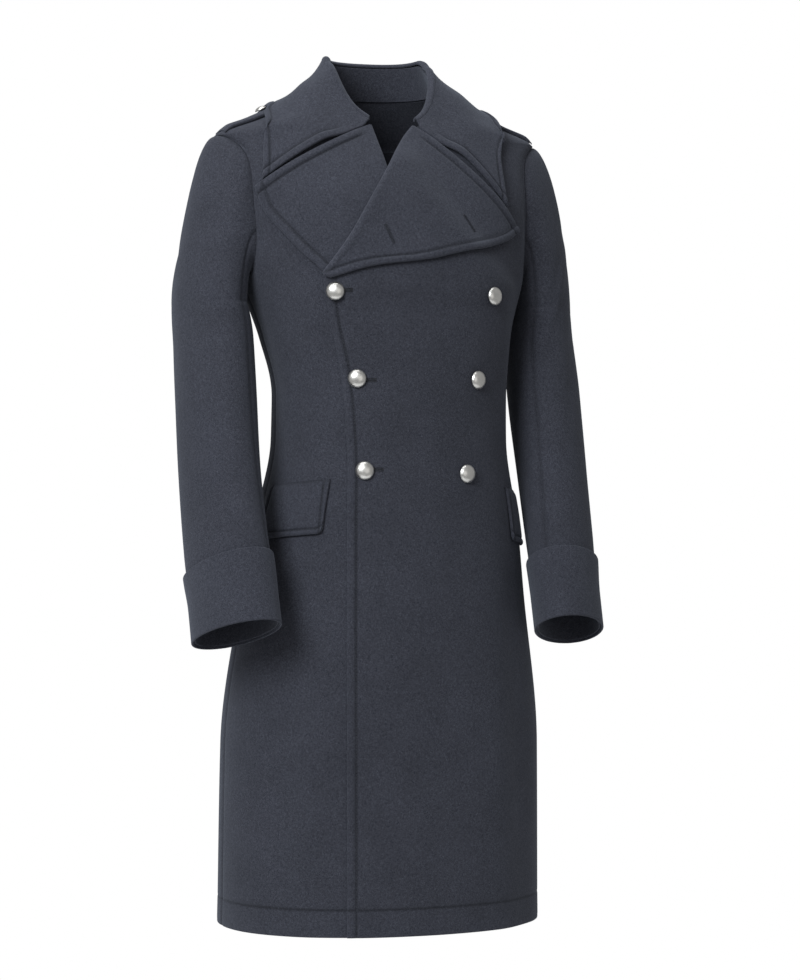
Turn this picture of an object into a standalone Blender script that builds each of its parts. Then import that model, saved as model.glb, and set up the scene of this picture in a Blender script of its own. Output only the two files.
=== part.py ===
"""Military greatcoat as it is worn: each cut piece of cloth is a closed wall of its own."""
import math

import bmesh
import bpy
from mathutils import Matrix, Vector
from mathutils.bvhtree import BVHTree

# Cloth and making allowances, in metres
WALL = 0.0025          # felted wool, with its facing at the edges
SEAM_GAP = 0.0004      # between pieces that are sewn edge to edge
SEWN_GAP = 0.0007      # under the sewn edge of a piece that lies on a panel
LAYER_GAP = 0.0012     # under the rest of it
ROLL_RADIUS = 0.0020   # hollow inside a rolled fold
ROLL_STEPS = [-1.0, -0.75, -0.5, -0.25]
HALVES = [0.0, 0.5, 1.0]
TURN_STEP = 0.004      # steps on the body form, for its normal
LEVEL_STEP = 0.0006
NORMAL_STEP = 0.0005   # of a surface's two numbers, for its normal

# Levels, in metres above the hold point between the shoulders
HEM_Z = -1.159
WAIST_Z = -0.450
BREAK_Z = -0.277
ARMPIT_Z = -0.270
SHOULDER_Z = -0.072
GORGE_Z = -0.060
NECK_Z = -0.005

# Level sections of the body, as superellipses about a side line
ROUNDNESS = 2.2
BODY_COLUMNS = ("level", "half_width", "front_y", "back_y", "side_y", "middle_x")
BODY_SECTIONS = (
    (HEM_Z, 0.226, -0.172, 0.172, 0.000, 0.000),
    (-0.910, 0.224, -0.166, 0.160, -0.004, 0.001),
    (-0.714, 0.201, -0.160, 0.142, -0.012, 0.003),
    (-0.600, 0.184, -0.157, 0.128, -0.018, 0.007),
    (-0.490, 0.164, -0.156, 0.114, -0.022, 0.008),
    (-0.430, 0.163, -0.156, 0.113, -0.021, 0.008),
    (-0.350, 0.176, -0.157, 0.122, -0.014, 0.005),
    (ARMPIT_Z, 0.201, -0.152, 0.130, -0.004, 0.003),
    (-0.180, 0.222, -0.132, 0.134, 0.006, 0.001),
    (-0.120, 0.231, -0.106, 0.131, 0.010, 0.000),
    (SHOULDER_Z, 0.232, -0.077, 0.122, 0.012, 0.000),
    (-0.050, 0.184, -0.063, 0.112, 0.012, 0.000),
    (-0.030, 0.140, -0.052, 0.102, 0.012, 0.000),
    (NECK_Z, 0.085, -0.042, 0.088, 0.012, 0.000),
)

# Armhole seen from the side, reaching in front of and behind the side line
ARMHOLE_FRONT = 0.070
ARMHOLE_BACK = 0.066
ARMHOLE_ROUNDNESS = 2.5
ARMHOLE_STEPS = 10     # rows from the shoulder point down to the armpit

# Grid of the panels
FRONT_COLUMNS = 13
BACK_COLUMNS = 9
THIGH_Z = -0.660

# Free edges of the two fronts: level and X. The left front laps over the right
LEFT_FRONT_EDGE = ((HEM_Z, -0.094), (-0.840, -0.092), (-0.600, -0.088), (-0.525, -0.086),
                   (-0.470, -0.088), (-0.404, -0.094), (-0.325, -0.110), (BREAK_Z, -0.116))
RIGHT_FRONT_EDGE = ((HEM_Z, 0.104), (-0.405, 0.104), (BREAK_Z, 0.100))
LEFT_ROLL_LINE = ((BREAK_Z, -0.116), (-0.217, -0.074), (-0.180, -0.052), (-0.139, -0.025),
                  (-0.080, 0.014), (GORGE_Z, 0.032))
RIGHT_ROLL_LINE = ((BREAK_Z, 0.100), (-0.200, 0.024), (-0.139, -0.023), (-0.104, -0.030),
                   (GORGE_Z, -0.037))
NECKLINE = ((GORGE_Z, 0.034), (-0.045, 0.053), (-0.030, 0.067), (-0.015, 0.078), (NECK_Z, 0.0835))

# Where the left front rises over the right front, and over the right lapel's roll
OVERLAP_BEYOND = 0.024     # it lies flat this far past the right front's edge
OVERLAP_FADE = 0.060
OVERLAP_TOP_Z = -0.125
OVERLAP_TOP_FADE = 0.045
OVER_LAPEL_Z = -0.318
OVER_LAPEL_FADE = 0.035

# Lapels: corners of each outline, as X and level
LAPEL_COLUMNS = ("share", "x", "level")
LAPEL_EDGE_LEFT = ((0.0, -0.108, -0.276), (0.20, -0.055, -0.261), (0.45, 0.025, -0.250),
                   (0.60, 0.070, -0.239), (0.75, 0.110, -0.230), (0.90, 0.150, -0.217),
                   (1.0, 0.176, -0.202))
LAPEL_EDGE_RIGHT = ((0.0, 0.085, -0.276), (0.15, 0.030, -0.275), (0.30, -0.040, -0.274),
                    (0.45, -0.105, -0.272), (0.60, -0.130, -0.253), (0.75, -0.160, -0.218),
                    (0.88, -0.184, -0.183), (1.0, -0.194, -0.149))
LAPEL_GAP = 0.0027     # a lapel stands a little off its front
SHARE_STEP = 0.01      # for the direction of the roll line
LAPEL_BOW = {1: 0.006, -1: 0.001}     # sag of the edge that runs up to the tip
LAPEL_MORE_SHARES = (0.132, 0.238, 0.361, 0.423)   # rows where the edge runs nearly level
LAPEL_STEPS = 9
ROLL_START_Z = BREAK_Z + 0.004
ROLL_END_Z = GORGE_Z - 0.002

# Collar: height of the stand and reach of the fall
NECK_TURN = 0.30       # share of the neck seam that lies on the front
SHOULDER_TURN = 0.42   # share of the outer edge that lies in front of the shoulder
NECK_MIDDLE_Y = 0.020
STAND_HEIGHT = 0.045
STAND_END = 0.006      # its height at the gorge
FALL_DROP_ENDS = 1.2   # how fast the fall comes down from its roll, front and back
FALL_DROP_SIDE = 4.0
FALL_BACK_GAP = 0.004  # how far the fall stands off the back
STAND_START = 0.24     # share at which the stand begins, behind the gorge
STAND_RISE_START = 0.03
STAND_RISE_LENGTH = 0.42
STAND_LEAN = 0.016     # the stand leans in towards the neck by this, at its top
COLLAR_EDGE_POWER = 0.8
STRAP_REACH = 0.315    # shares over which the fall clears the strap, and settles behind it
BEHIND_REACH = 0.2
LIFT_REACH = 1 / 3
RISING_REACH = 0.48
RISING_GAP = 0.0026    # between stand and fall where the seam between them climbs
FALL_LIFT = 0.0110     # outer face of the fall above the shoulder, over the strap
COLLAR_SHARES = (0.0, 0.03, 0.07, 0.12, 0.18, 0.24, 0.30, 0.36, 0.42, 0.48, 0.56, 0.64, 0.72, 0.80,
                 0.88)
FALL_COLUMNS = 7
COLLAR_SHOULDER_Z = -0.036
COLLAR_BACK_Z = -0.082
COLLAR_EDGE_LEFT = ((COLLAR_SHOULDER_Z, 0.153), (-0.055, 0.163), (-0.109, 0.152), (-0.169, 0.153))
COLLAR_EDGE_RIGHT = ((COLLAR_SHOULDER_Z, -0.153), (-0.053, -0.170), (-0.098, -0.181), (-0.140, -0.185))

# Sleeves: sections along the arm. The long axis turns in towards the front
SLEEVE_COLUMNS = ("level", "x", "y", "half_thin", "half_long", "turn")
SLEEVE_SECTIONS = (
    (-0.310, 0.2424, 0.004, 0.0435, 0.074, 14.0),
    (-0.360, 0.2385, -0.004, 0.0485, 0.071, 16.0),
    (-0.434, 0.2395, -0.022, 0.0505, 0.067, 18.0),
    (-0.546, 0.2415, -0.052, 0.0485, 0.066, 23.0),
    (-0.630, 0.2410, -0.080, 0.0465, 0.067, 27.0),
    (-0.700, 0.2385, -0.107, 0.0440, 0.067, 30.0),
    (-0.760, 0.2375, -0.128, 0.0435, 0.068, 30.0),
)
AXIS_STEP = 0.002          # for the direction of the arm
SLEEVE_END_Z = -0.750
CUFF_TOP_Z = -0.662
CUFF_END_Z = -0.753
CUFF_WALL = 0.0030
SLEEVE_SEAM_TURN = 108.0   # seams stand this far round from the top of the sleeve
SLEEVE_RADIUS = 0.055      # a typical one, that turns a gap into an angle
CAP_FORWARD = 0.20         # way out of the armhole: forward and up, for each metre out
CAP_UP = 0.12
CAP_START = (0.005, 0.029)     # how far the cap swells, under the arm and over it
CAP_END = (0.010, 0.085)
CAP_ALONGS = (0.0, 0.10, 0.25, 0.45, 0.70, 1.0)
ARM_ROWS = 8

# Hip pocket flaps
FLAP_FRONT = {1: 0.146, -1: -0.107}
FLAP_WIDTH_TURN = {1: 0.56, -1: 0.74}     # radians round the body
FLAP_TOP_Z = {1: -0.556, -1: -0.545}
FLAP_SLANT = 0.009
FLAP_SWING = 0.006         # radians that the lower edge swings towards the side seam
FLAP_HEIGHT = 0.074
FLAP_CORNER = 0.007
FLAP_WALL = 0.0030
FLAP_ALONGS = [0.0, 0.03, 0.08, 0.22, 0.36, 0.50, 0.64, 0.78, 0.92, 0.97, 1.0]

# Epaulettes
HALVINGS = 30              # of the search for a place on the shoulder
STRAP_OUTER_X = 0.219
STRAP_INNER_X = 0.128
STRAP_HALF_WIDTH = 0.026
STRAP_POINT = 0.022
STRAP_WALL = 0.0040
STRAP_BUTTON_X = 0.163
STRAP_END_SHARE = 0.35     # width of its blunt point, as a share
STRAP_ALONGS = [0.0, 0.12, 0.28, 0.45, 0.62, 0.78, 0.9, 1.0]
STRAP_ACROSSES = [-1.0, -0.6, -0.2, 0.2, 0.6, 1.0]

# Buttons: name, X and level on the left front
BUTTON_PLACES = (
    ("button_upper_right", -0.102, -0.293),
    ("button_upper_left", 0.119, -0.295),
    ("button_middle_right", -0.074, -0.410),
    ("button_middle_left", 0.096, -0.410),
    ("button_lower_right", -0.065, -0.534),
    ("button_lower_left", 0.078, -0.538),
)
BUTTON_RADIUS = 0.0127
STRAP_BUTTON_RADIUS = 0.0085
BUTTON_SEAT = 0.0006
SEAT_REACH = 0.010         # a seat is looked for from this far above the cloth
DOME_SHARE = 0.52          # heights and radii of a button, as shares of its radius
RIM_SHARE = 0.13
SHANK_SHARE = 0.16
SHANK_RADIUS_SHARE = 0.27
BACK_RADIUS_SHARE = 0.97
DOME_STEPS = 5
TURN_STEPS = 18

# Colours, linear
WOOL_COLOUR = (0.042, 0.049, 0.070, 1.0)
FOLD_COLOUR = (0.046, 0.053, 0.075, 1.0)
METAL_COLOUR = (0.62, 0.60, 0.57, 1.0)


def smooth_through(points):
    """Return a curve through points of (x, y) that never overshoots them."""
    points = sorted(points)
    xs = [p[0] for p in points]
    ys = [p[1] for p in points]
    slopes = [(ys[i + 1] - ys[i]) / (xs[i + 1] - xs[i]) for i in range(len(xs) - 1)]
    tangents = [slopes[0]]
    for before, after in zip(slopes, slopes[1:]):
        same_way = before * after > 0
        tangents.append(2 * before * after / (before + after) if same_way else 0.0)
    tangents.append(slopes[-1])

    def value(x):
        x = min(max(x, xs[0]), xs[-1])
        i = 0
        while i < len(slopes) - 1 and x > xs[i + 1]:
            i += 1
        span = xs[i + 1] - xs[i]
        t = (x - xs[i]) / span
        low = (1 + 2 * t) * (1 - t) ** 2 * ys[i] + t * (1 - t) ** 2 * span * tangents[i]
        high = t * t * (3 - 2 * t) * ys[i + 1] - t * t * (1 - t) * span * tangents[i + 1]
        return low + high

    return value


def table_curves(columns, rows):
    """Turn a table into one smooth curve for each column, by its first column."""
    return {name: smooth_through([(row[0], row[i]) for row in rows])
            for i, name in enumerate(columns) if i > 0}


def mix(a, b, share):
    return a + (b - a) * share


def smooth_step(x):
    x = min(max(x, 0.0), 1.0)
    return x * x * (3 - 2 * x)


def signed_power(value, power):
    return math.copysign(abs(value) ** power, value)


BODY = table_curves(BODY_COLUMNS, BODY_SECTIONS)
SLEEVE = table_curves(SLEEVE_COLUMNS, SLEEVE_SECTIONS)
FRONT_EDGE = {1: smooth_through(LEFT_FRONT_EDGE), -1: smooth_through(RIGHT_FRONT_EDGE)}
ROLL_LINE = {1: smooth_through(LEFT_ROLL_LINE), -1: smooth_through(RIGHT_ROLL_LINE)}
NECK_X = smooth_through(NECKLINE)
COLLAR_EDGE = {1: smooth_through(COLLAR_EDGE_LEFT), -1: smooth_through(COLLAR_EDGE_RIGHT)}
COLLAR_TIP_Z = {1: COLLAR_EDGE_LEFT[-1][0], -1: COLLAR_EDGE_RIGHT[-1][0]}


# The body form. Angles turn from a side seam, forwards when positive
def body_point(side, angle, level):
    """Point of the body form; side is 1 for the wearer's left and -1 for the right."""
    side_y = BODY["side_y"](level)
    reach = side_y - BODY["front_y"](level) if math.sin(angle) > 0 else BODY["back_y"](level) - side_y
    across = BODY["half_width"](level) * signed_power(math.cos(angle), 2 / ROUNDNESS)
    return Vector((BODY["middle_x"](level) + side * across,
                   side_y - reach * signed_power(math.sin(angle), 2 / ROUNDNESS),
                   level))


def body_normal(side, angle, level):
    """Outward direction of the body form."""
    turn = TURN_STEP
    level = min(max(level, HEM_Z + LEVEL_STEP), NECK_Z - LEVEL_STEP)
    along = body_point(side, angle + turn, level) - body_point(side, angle - turn, level)
    up = body_point(side, angle, level + LEVEL_STEP) - body_point(side, angle, level - LEVEL_STEP)
    return (up.cross(along) * side).normalized()


def angle_at_x(side, x, level):
    """Angle of the front point that has this X."""
    share = side * (x - BODY["middle_x"](level)) / BODY["half_width"](level)
    share = min(max(share, -1.0), 1.0)
    return math.acos(signed_power(share, ROUNDNESS / 2))


def angle_at_offset(level, offset, reach):
    """Angle of the point that lies this far from the side line."""
    return math.asin(min(offset / reach, 1.0) ** (ROUNDNESS / 2))


def armhole_share(level):
    """Width of the armhole at a level, as a share of its greatest."""
    middle = (SHOULDER_Z + ARMPIT_Z) / 2
    share = abs(level - middle) / ((SHOULDER_Z - ARMPIT_Z) / 2)
    return 0.0 if share >= 1 else (1 - share ** ARMHOLE_ROUNDNESS) ** (1 / ARMHOLE_ROUNDNESS)


def front_side_angle(level):
    """Angle at which a front begins: side seam, armhole, shoulder seam."""
    offset = max(SEAM_GAP / 2, ARMHOLE_FRONT * armhole_share(level))
    return angle_at_offset(level, offset, BODY["side_y"](level) - BODY["front_y"](level))


def back_side_angle(level):
    """Angle at which a back begins, as a negative turn."""
    offset = max(SEAM_GAP / 2, ARMHOLE_BACK * armhole_share(level))
    return -angle_at_offset(level, offset, BODY["back_y"](level) - BODY["side_y"](level))


def front_edge_x(side, level):
    """X of a front's free edge: front edge, roll line, neckline."""
    if level <= BREAK_Z:
        return FRONT_EDGE[side](level)
    if level <= GORGE_Z:
        return ROLL_LINE[side](level)
    return side * NECK_X(level)


def overlap_lift(side, angle, level):
    """Height of the left front over the body form, where it covers the right front."""
    if side < 0 or math.sin(angle) <= 0:
        return 0.0
    x = body_point(side, angle, level).x
    covered = 1 - smooth_step((x - front_edge_x(-1, level) - OVERLAP_BEYOND) / OVERLAP_FADE)
    covered *= 1 - smooth_step((level - OVERLAP_TOP_Z) / OVERLAP_TOP_FADE)
    over_lapel = smooth_step((level - OVER_LAPEL_Z) / OVER_LAPEL_FADE)
    one_layer = LAYER_GAP + WALL
    two_layers = lapel_top() + LAYER_GAP + WALL
    return covered * mix(one_layer, two_layers, over_lapel)


def lapel_top():
    """Height of a rolled fold over the panel that it lies on."""
    return 2 * ROLL_RADIUS + WALL


def cloth_point(side, angle, level, height=0.0):
    """Point over the coat's own surface, moved out along the normal."""
    height += overlap_lift(side, angle, level)
    return body_point(side, angle, level) + body_normal(side, angle, level) * height


# Rows of the panels
def spread(start, end, count):
    """Evenly spaced values, without the last."""
    return [mix(start, end, i / count) for i in range(count)]


def armhole_levels():
    """Levels of the armhole's rows, from the armpit up to below the shoulder point."""
    middle = (SHOULDER_Z + ARMPIT_Z) / 2
    half = (SHOULDER_Z - ARMPIT_Z) / 2
    turns = [math.pi * i / ARMHOLE_STEPS for i in range(ARMHOLE_STEPS)]
    return [middle - half * signed_power(math.cos(turn), 2 / ARMHOLE_ROUNDNESS) for turn in turns]


def panel_levels():
    """Levels of a panel's rows, hem to neck."""
    levels = spread(HEM_Z, THIGH_Z, 7) + spread(THIGH_Z, WAIST_Z, 4) + spread(WAIST_Z, BREAK_Z, 4)
    levels += [BREAK_Z] + armhole_levels() + [SHOULDER_Z]
    return levels + spread(GORGE_Z, NECK_Z, 4) + [NECK_Z]


def wall(name, surface, us, vs, thickness, material, ring=False):
    """Build a closed wall: the surface's points, and the same moved in along its normal.

    The surface is a function of (u, v), and a ring closes on itself along u. The thickness
    is negative where u crossed with v points into the coat.
    """
    step = NORMAL_STEP
    reach = math.inf if ring else 0.0
    outer = [[surface(u, v) for v in vs] for u in us]
    inner = []
    for u, outer_row in zip(us, outer):
        low_u = max(u - step, min(us) - reach)
        high_u = min(u + step, max(us) + reach)
        row = []
        for v, point in zip(vs, outer_row):
            along = surface(high_u, v) - surface(low_u, v)
            across = surface(u, min(v + step, max(vs))) - surface(u, max(v - step, min(vs)))
            row.append(point - along.cross(across).normalized() * thickness)
        inner.append(row)
    return grid_wall(name, outer, inner, material, ring)


def grid_wall(name, outer, inner, material, ring=False):
    """Join two grids of points into one closed wall."""
    mesh_edit = bmesh.new()
    outer = [[mesh_edit.verts.new(p) for p in row] for row in outer]
    inner = [[mesh_edit.verts.new(p) for p in row] for row in inner]
    rows = len(outer)
    columns = len(outer[0])
    for i in range(rows if ring else rows - 1):
        k = (i + 1) % rows
        for j in range(columns - 1):
            mesh_edit.faces.new((outer[i][j], outer[k][j], outer[k][j + 1], outer[i][j + 1]))
            mesh_edit.faces.new((inner[i][j], inner[i][j + 1], inner[k][j + 1], inner[k][j]))
        for j in (0, columns - 1):
            mesh_edit.faces.new((outer[i][j], inner[i][j], inner[k][j], outer[k][j]))
    if not ring:
        for i in (0, rows - 1):
            for j in range(columns - 1):
                mesh_edit.faces.new((outer[i][j], outer[i][j + 1], inner[i][j + 1], inner[i][j]))
    bmesh.ops.recalc_face_normals(mesh_edit, faces=mesh_edit.faces)
    mesh = bpy.data.meshes.new(name)
    mesh_edit.to_mesh(mesh)
    mesh_edit.free()
    mesh.materials.append(material)
    mesh.shade_smooth()
    mesh.set_sharp_from_angle(angle=math.radians(50))
    piece = bpy.data.objects.new(name, mesh)
    coat_collection().objects.link(piece)
    return piece


def coat_collection():
    """Return the collection that holds the coat's pieces."""
    found = bpy.data.collections.get("greatcoat")
    if found is None:
        found = bpy.data.collections.new("greatcoat")
        bpy.context.scene.collection.children.link(found)
    return found


def finish(name, colour, roughness, metallic=0.0):
    """Make a material with one Principled BSDF."""
    material = bpy.data.materials.new(name)
    material.use_nodes = True
    shader = material.node_tree.nodes["Principled BSDF"]
    shader.inputs["Base Color"].default_value = colour
    shader.inputs["Roughness"].default_value = roughness
    shader.inputs["Metallic"].default_value = metallic
    return material


def panel(name, side, start_angle, end_angle, columns, material):
    """Wall of a front or a back, whose rows run between two angles at each level."""
    levels = panel_levels()
    outer = []
    inner = []
    for level in levels:
        start = start_angle(level)
        end = end_angle(level)
        angles = [mix(start, end, i / columns) for i in range(columns + 1)]
        outer.append([cloth_point(side, angle, level) for angle in angles])
        inner.append([cloth_point(side, angle, level, -WALL) for angle in angles])
    return grid_wall(name, outer, inner, material)


def make_fronts(material):
    for name, side in (("front_left", 1), ("front_right", -1)):
        panel(name, side, front_side_angle,
              lambda level, side=side: angle_at_x(side, front_edge_x(side, level), level),
              FRONT_COLUMNS, material)


def make_backs(material):
    for name, side in (("back_left", 1), ("back_right", -1)):
        panel(name, side, back_side_angle,
              lambda level: -math.pi / 2 + SEAM_GAP / 2 / BODY["half_width"](level),
              BACK_COLUMNS, material)


# Sleeves. Turns go round from the shoulder point, forwards
def armhole_point(side, turn):
    """Point of the armhole seam, on the sleeve's side of it."""
    inset = SEAM_GAP * 1.3
    middle = (SHOULDER_Z + ARMPIT_Z) / 2
    half = (SHOULDER_Z - ARMPIT_Z) / 2 - inset
    level = middle + half * signed_power(math.cos(turn), 2 / ARMHOLE_ROUNDNESS)
    share = abs(signed_power(math.sin(turn), 2 / ARMHOLE_ROUNDNESS))
    side_y = BODY["side_y"](level)
    if math.sin(turn) > 0:
        offset = (ARMHOLE_FRONT - inset) * share
        angle = angle_at_offset(level, offset, side_y - BODY["front_y"](level))
    else:
        offset = (ARMHOLE_BACK - inset) * share
        angle = -angle_at_offset(level, offset, BODY["back_y"](level) - side_y)
    return body_point(side, angle, level)


def arm_point(side, turn, level, swell=0.0):
    """Point of the sleeve's section at a level of the arm's axis."""
    rise = AXIS_STEP
    lean = math.radians(SLEEVE["turn"](level))
    long_way = Vector((-side * math.sin(lean), -math.cos(lean), 0.0))
    thin_way = Vector((side * math.cos(lean), -math.sin(lean), 0.0))
    offset = thin_way * (SLEEVE["half_thin"](level) + swell) * math.cos(turn)
    offset += long_way * (SLEEVE["half_long"](level) + swell) * math.sin(turn)
    slope_x = side * (SLEEVE["x"](level + rise) - SLEEVE["x"](level - rise)) / (2 * rise)
    slope_y = (SLEEVE["y"](level + rise) - SLEEVE["y"](level - rise)) / (2 * rise)
    offset.z = -(offset.x * slope_x + offset.y * slope_y)
    return Vector((side * SLEEVE["x"](level), SLEEVE["y"](level), level)) + offset


def sleeve_point(side, turn, along):
    """Point of a sleeve: along runs 0 to 1 over the cap and 1 to 2 down the arm."""
    top = SLEEVE_SECTIONS[0][0]
    if along >= 1:
        return arm_point(side, turn, mix(top, SLEEVE_END_Z, along - 1))
    start = armhole_point(side, turn)
    end = arm_point(side, turn, top)
    over = (1 + math.cos(turn)) / 2
    out = Vector((side, -CAP_FORWARD * math.sin(turn), CAP_UP * max(math.cos(turn), 0.0)))
    first = start + out.normalized() * mix(*CAP_START, over)
    second = end + Vector((0.0, 0.0, mix(*CAP_END, over)))
    rest = 1 - along
    return (start * rest ** 3 + first * 3 * rest ** 2 * along
            + second * 3 * rest * along ** 2 + end * along ** 3)


def make_sleeves(material):
    seam = math.radians(SLEEVE_SEAM_TURN)
    gap = SEAM_GAP / 2 / SLEEVE_RADIUS
    step = math.pi / ARMHOLE_STEPS
    halves = (("sleeve_top", -seam + gap, seam - gap),
              ("sleeve_under", seam + gap, 2 * math.pi - seam - gap))
    alongs = list(CAP_ALONGS) + [1 + i / ARM_ROWS for i in range(1, ARM_ROWS + 1)]
    for kind, start, end in halves:
        count = round((end - start) / step)
        turns = [mix(start, end, i / count) for i in range(count + 1)]
        for word, side in (("left", 1), ("right", -1)):
            wall(f"{kind}_{word}",
                 lambda u, v, side=side: sleeve_point(side, u, v),
                 turns, alongs, side * WALL, material)


def make_cuffs(material):
    swell = SEWN_GAP + CUFF_WALL
    turns = [math.pi * i / ARMHOLE_STEPS for i in range(2 * ARMHOLE_STEPS)]
    for word, side in (("left", 1), ("right", -1)):
        wall(f"cuff_{word}",
             lambda u, v, side=side: arm_point(side, u, mix(CUFF_TOP_Z, CUFF_END_Z, v), swell),
             turns, HALVES, side * CUFF_WALL, material, ring=True)


# Rolled folds
def roll_offset(turn, start_gap):
    """Outer face of a half-turn fold: how far across and how far up."""
    radius = ROLL_RADIUS + WALL
    return start_gap + radius * math.sin(turn), ROLL_RADIUS - radius * math.cos(turn)


def lapel_edge(side):
    """Curves for X and level of a lapel's outer edge, from the break to the tip."""
    rows = LAPEL_EDGE_LEFT if side > 0 else LAPEL_EDGE_RIGHT
    return table_curves(LAPEL_COLUMNS, rows)


LAPEL_EDGE = {1: lapel_edge(1), -1: lapel_edge(-1)}


def roll_param(side, share):
    """Angle and level on the roll line, from the break to the gorge."""
    level = mix(ROLL_START_Z, ROLL_END_Z, share)
    return angle_at_x(side, ROLL_LINE[side](level), level), level


def lapel_point(side, share, across):
    """Point of a lapel: across runs -1 to 0 round the roll and 0 to 1 to the edge."""
    angle, level = roll_param(side, share)
    if across < 0:
        near = roll_param(side, min(share + SHARE_STEP, 1.0))
        far = roll_param(side, max(share - SHARE_STEP, 0.0))
        base = cloth_point(side, angle, level)
        normal = body_normal(side, angle, level)
        line = cloth_point(side, *near) - cloth_point(side, *far)
        out = line.cross(normal).normalized() * -side
        sideways, height = roll_offset((across + 1) * math.pi, SEAM_GAP * 2)
        return base + out * sideways + normal * height
    end_x = LAPEL_EDGE[side]["x"](share)
    end_level = LAPEL_EDGE[side]["level"](share)
    end_angle = angle_at_x(side, end_x, end_level)
    height = mix(LAPEL_GAP + WALL, lapel_top(), (1 - across) ** 2)
    bow = LAPEL_BOW[side] * share ** 3 * math.sin(math.pi * across)
    return cloth_point(side, mix(angle, end_angle, across), mix(level, end_level, across) - bow, height)


def make_lapels(material):
    levels = [level for level in panel_levels() if ROLL_START_Z < level < SHOULDER_Z - SEAM_GAP]
    levels.append(SHOULDER_Z)
    shares = [(level - ROLL_START_Z) / (ROLL_END_Z - ROLL_START_Z) for level in levels]
    shares = sorted([0.0, 1.0] + shares + list(LAPEL_MORE_SHARES))
    acrosses = ROLL_STEPS + [i / LAPEL_STEPS for i in range(LAPEL_STEPS + 1)]
    for word, side in (("left", 1), ("right", -1)):
        wall(f"lapel_{word}",
             lambda u, v, side=side: lapel_point(side, u, v),
             shares, acrosses, -side * WALL, material)


# Collar. Share runs from the gorge, 0, over the shoulder seam to the centre back, 1
def neck_param(share):
    """Angle and level on the neck seam."""
    level = mix(GORGE_Z, NECK_Z, min(share / NECK_TURN, 1.0))
    front = angle_at_x(1, NECK_X(level), level)
    if share <= NECK_TURN:
        return front, level
    return mix(front, -math.pi / 2, (share - NECK_TURN) / (1 - NECK_TURN)), level


def collar_edge_param(side, share):
    """Angle and level on the fall's outer edge, from its point to the centre back."""
    if share < SHOULDER_TURN:
        level = mix(COLLAR_TIP_Z[side], COLLAR_SHOULDER_Z, (share / SHOULDER_TURN) ** COLLAR_EDGE_POWER)
        return angle_at_x(side, COLLAR_EDGE[side](level), level), level
    part = (share - SHOULDER_TURN) / (1 - SHOULDER_TURN)
    return -math.pi / 2 * part, mix(COLLAR_SHOULDER_Z, COLLAR_BACK_Z, smooth_step(part))


def inward(side, share):
    """Level direction from the neck seam to the middle of the neck."""
    seam = body_point(side, *neck_param(share))
    return Vector((-seam.x, NECK_MIDDLE_Y - seam.y, 0.0)).normalized()


def stand_height(share):
    return mix(STAND_END, STAND_HEIGHT, smooth_step((share - STAND_RISE_START) / STAND_RISE_LENGTH))


def roll_top(side, share):
    """Top of the stand's outer face."""
    height = stand_height(share)
    seam = body_point(side, *neck_param(share))
    lean = inward(side, share) * STAND_LEAN * height / STAND_HEIGHT
    return seam + lean + Vector((0.0, 0.0, height))


def stand_point(share, up):
    """Outer face of the stand; share is negative on the wearer's right."""
    side, share = share_side(share)
    angle, level = neck_param(share)
    direction = inward(side, share)
    clear = WALL * abs(body_normal(side, angle, level).dot(direction)) + SEAM_GAP
    foot = body_point(side, angle, level) + direction * clear
    top = roll_top(side, share) + direction * clear
    return foot.lerp(top, up)


def share_side(share):
    """Split a share that runs 0 to 2 round the whole collar into a side and a share."""
    return (1, share) if share <= 1 else (-1, 2 - share)


def fall_point(share, across):
    """Outer face of the fall: across runs -1 to 0 over the roll and 0 to 1 to the edge."""
    side, share = share_side(share)
    angle, level = neck_param(share)
    direction = inward(side, share)
    clear = WALL * abs(body_normal(side, angle, level).dot(direction)) + SEAM_GAP
    radius = ROLL_RADIUS + WALL
    top = roll_top(side, share) + direction * (clear - ROLL_RADIUS)
    top.z += mix(RISING_GAP, SEAM_GAP, smooth_step((share - STAND_START) / RISING_REACH))
    if across < 0:
        turn = (across + 1) * math.pi
        return top + direction * radius * math.cos(turn) + Vector((0.0, 0.0, radius * math.sin(turn)))
    start = top - direction * radius
    edge_angle, edge_level = collar_edge_param(side, share)
    over_strap = smooth_step(1 - abs(share - SHOULDER_TURN) / STRAP_REACH)
    behind = smooth_step((share - SHOULDER_TURN) / BEHIND_REACH)
    height = mix(LAPEL_GAP + FALL_BACK_GAP * behind + WALL, FALL_LIFT, over_strap)
    rise = start - body_point(side, angle, level)
    lying = cloth_point(side, mix(angle, edge_angle, across), mix(level, edge_level, across),
                        height * smooth_step(across / LIFT_REACH))
    drop = mix(FALL_DROP_ENDS, FALL_DROP_SIDE, over_strap)
    return lying + rise * (1 - across) ** drop


def make_collar(material):
    shares = list(COLLAR_SHARES) + [1.0] + [2 - share for share in reversed(COLLAR_SHARES)]
    acrosses = ROLL_STEPS + [i / FALL_COLUMNS for i in range(FALL_COLUMNS + 1)]
    wall("collar_fall", fall_point, shares, acrosses, -WALL, material)
    shares = [share for share in shares if STAND_START <= share <= 2 - STAND_START]
    wall("collar_stand", stand_point, shares, HALVES, WALL, material)


# Hip pockets
def flap_point(side, along, down):
    """Outer face of a flap, from its front end towards the side seam."""
    turn = FLAP_WIDTH_TURN[side]
    nearest = min(along, 1 - along) * turn * BODY["half_width"](FLAP_TOP_Z[side])
    cut = max(FLAP_CORNER - nearest, 0.0)
    round_off = FLAP_CORNER - math.sqrt(FLAP_CORNER ** 2 - cut ** 2)
    start = angle_at_x(side, FLAP_FRONT[side], FLAP_TOP_Z[side])
    level = FLAP_TOP_Z[side] - FLAP_SLANT * along - (FLAP_HEIGHT - round_off) * down
    angle = start - turn * along - FLAP_SWING * down
    return cloth_point(side, angle, level, mix(SEWN_GAP, LAYER_GAP, down) + FLAP_WALL)


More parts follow.
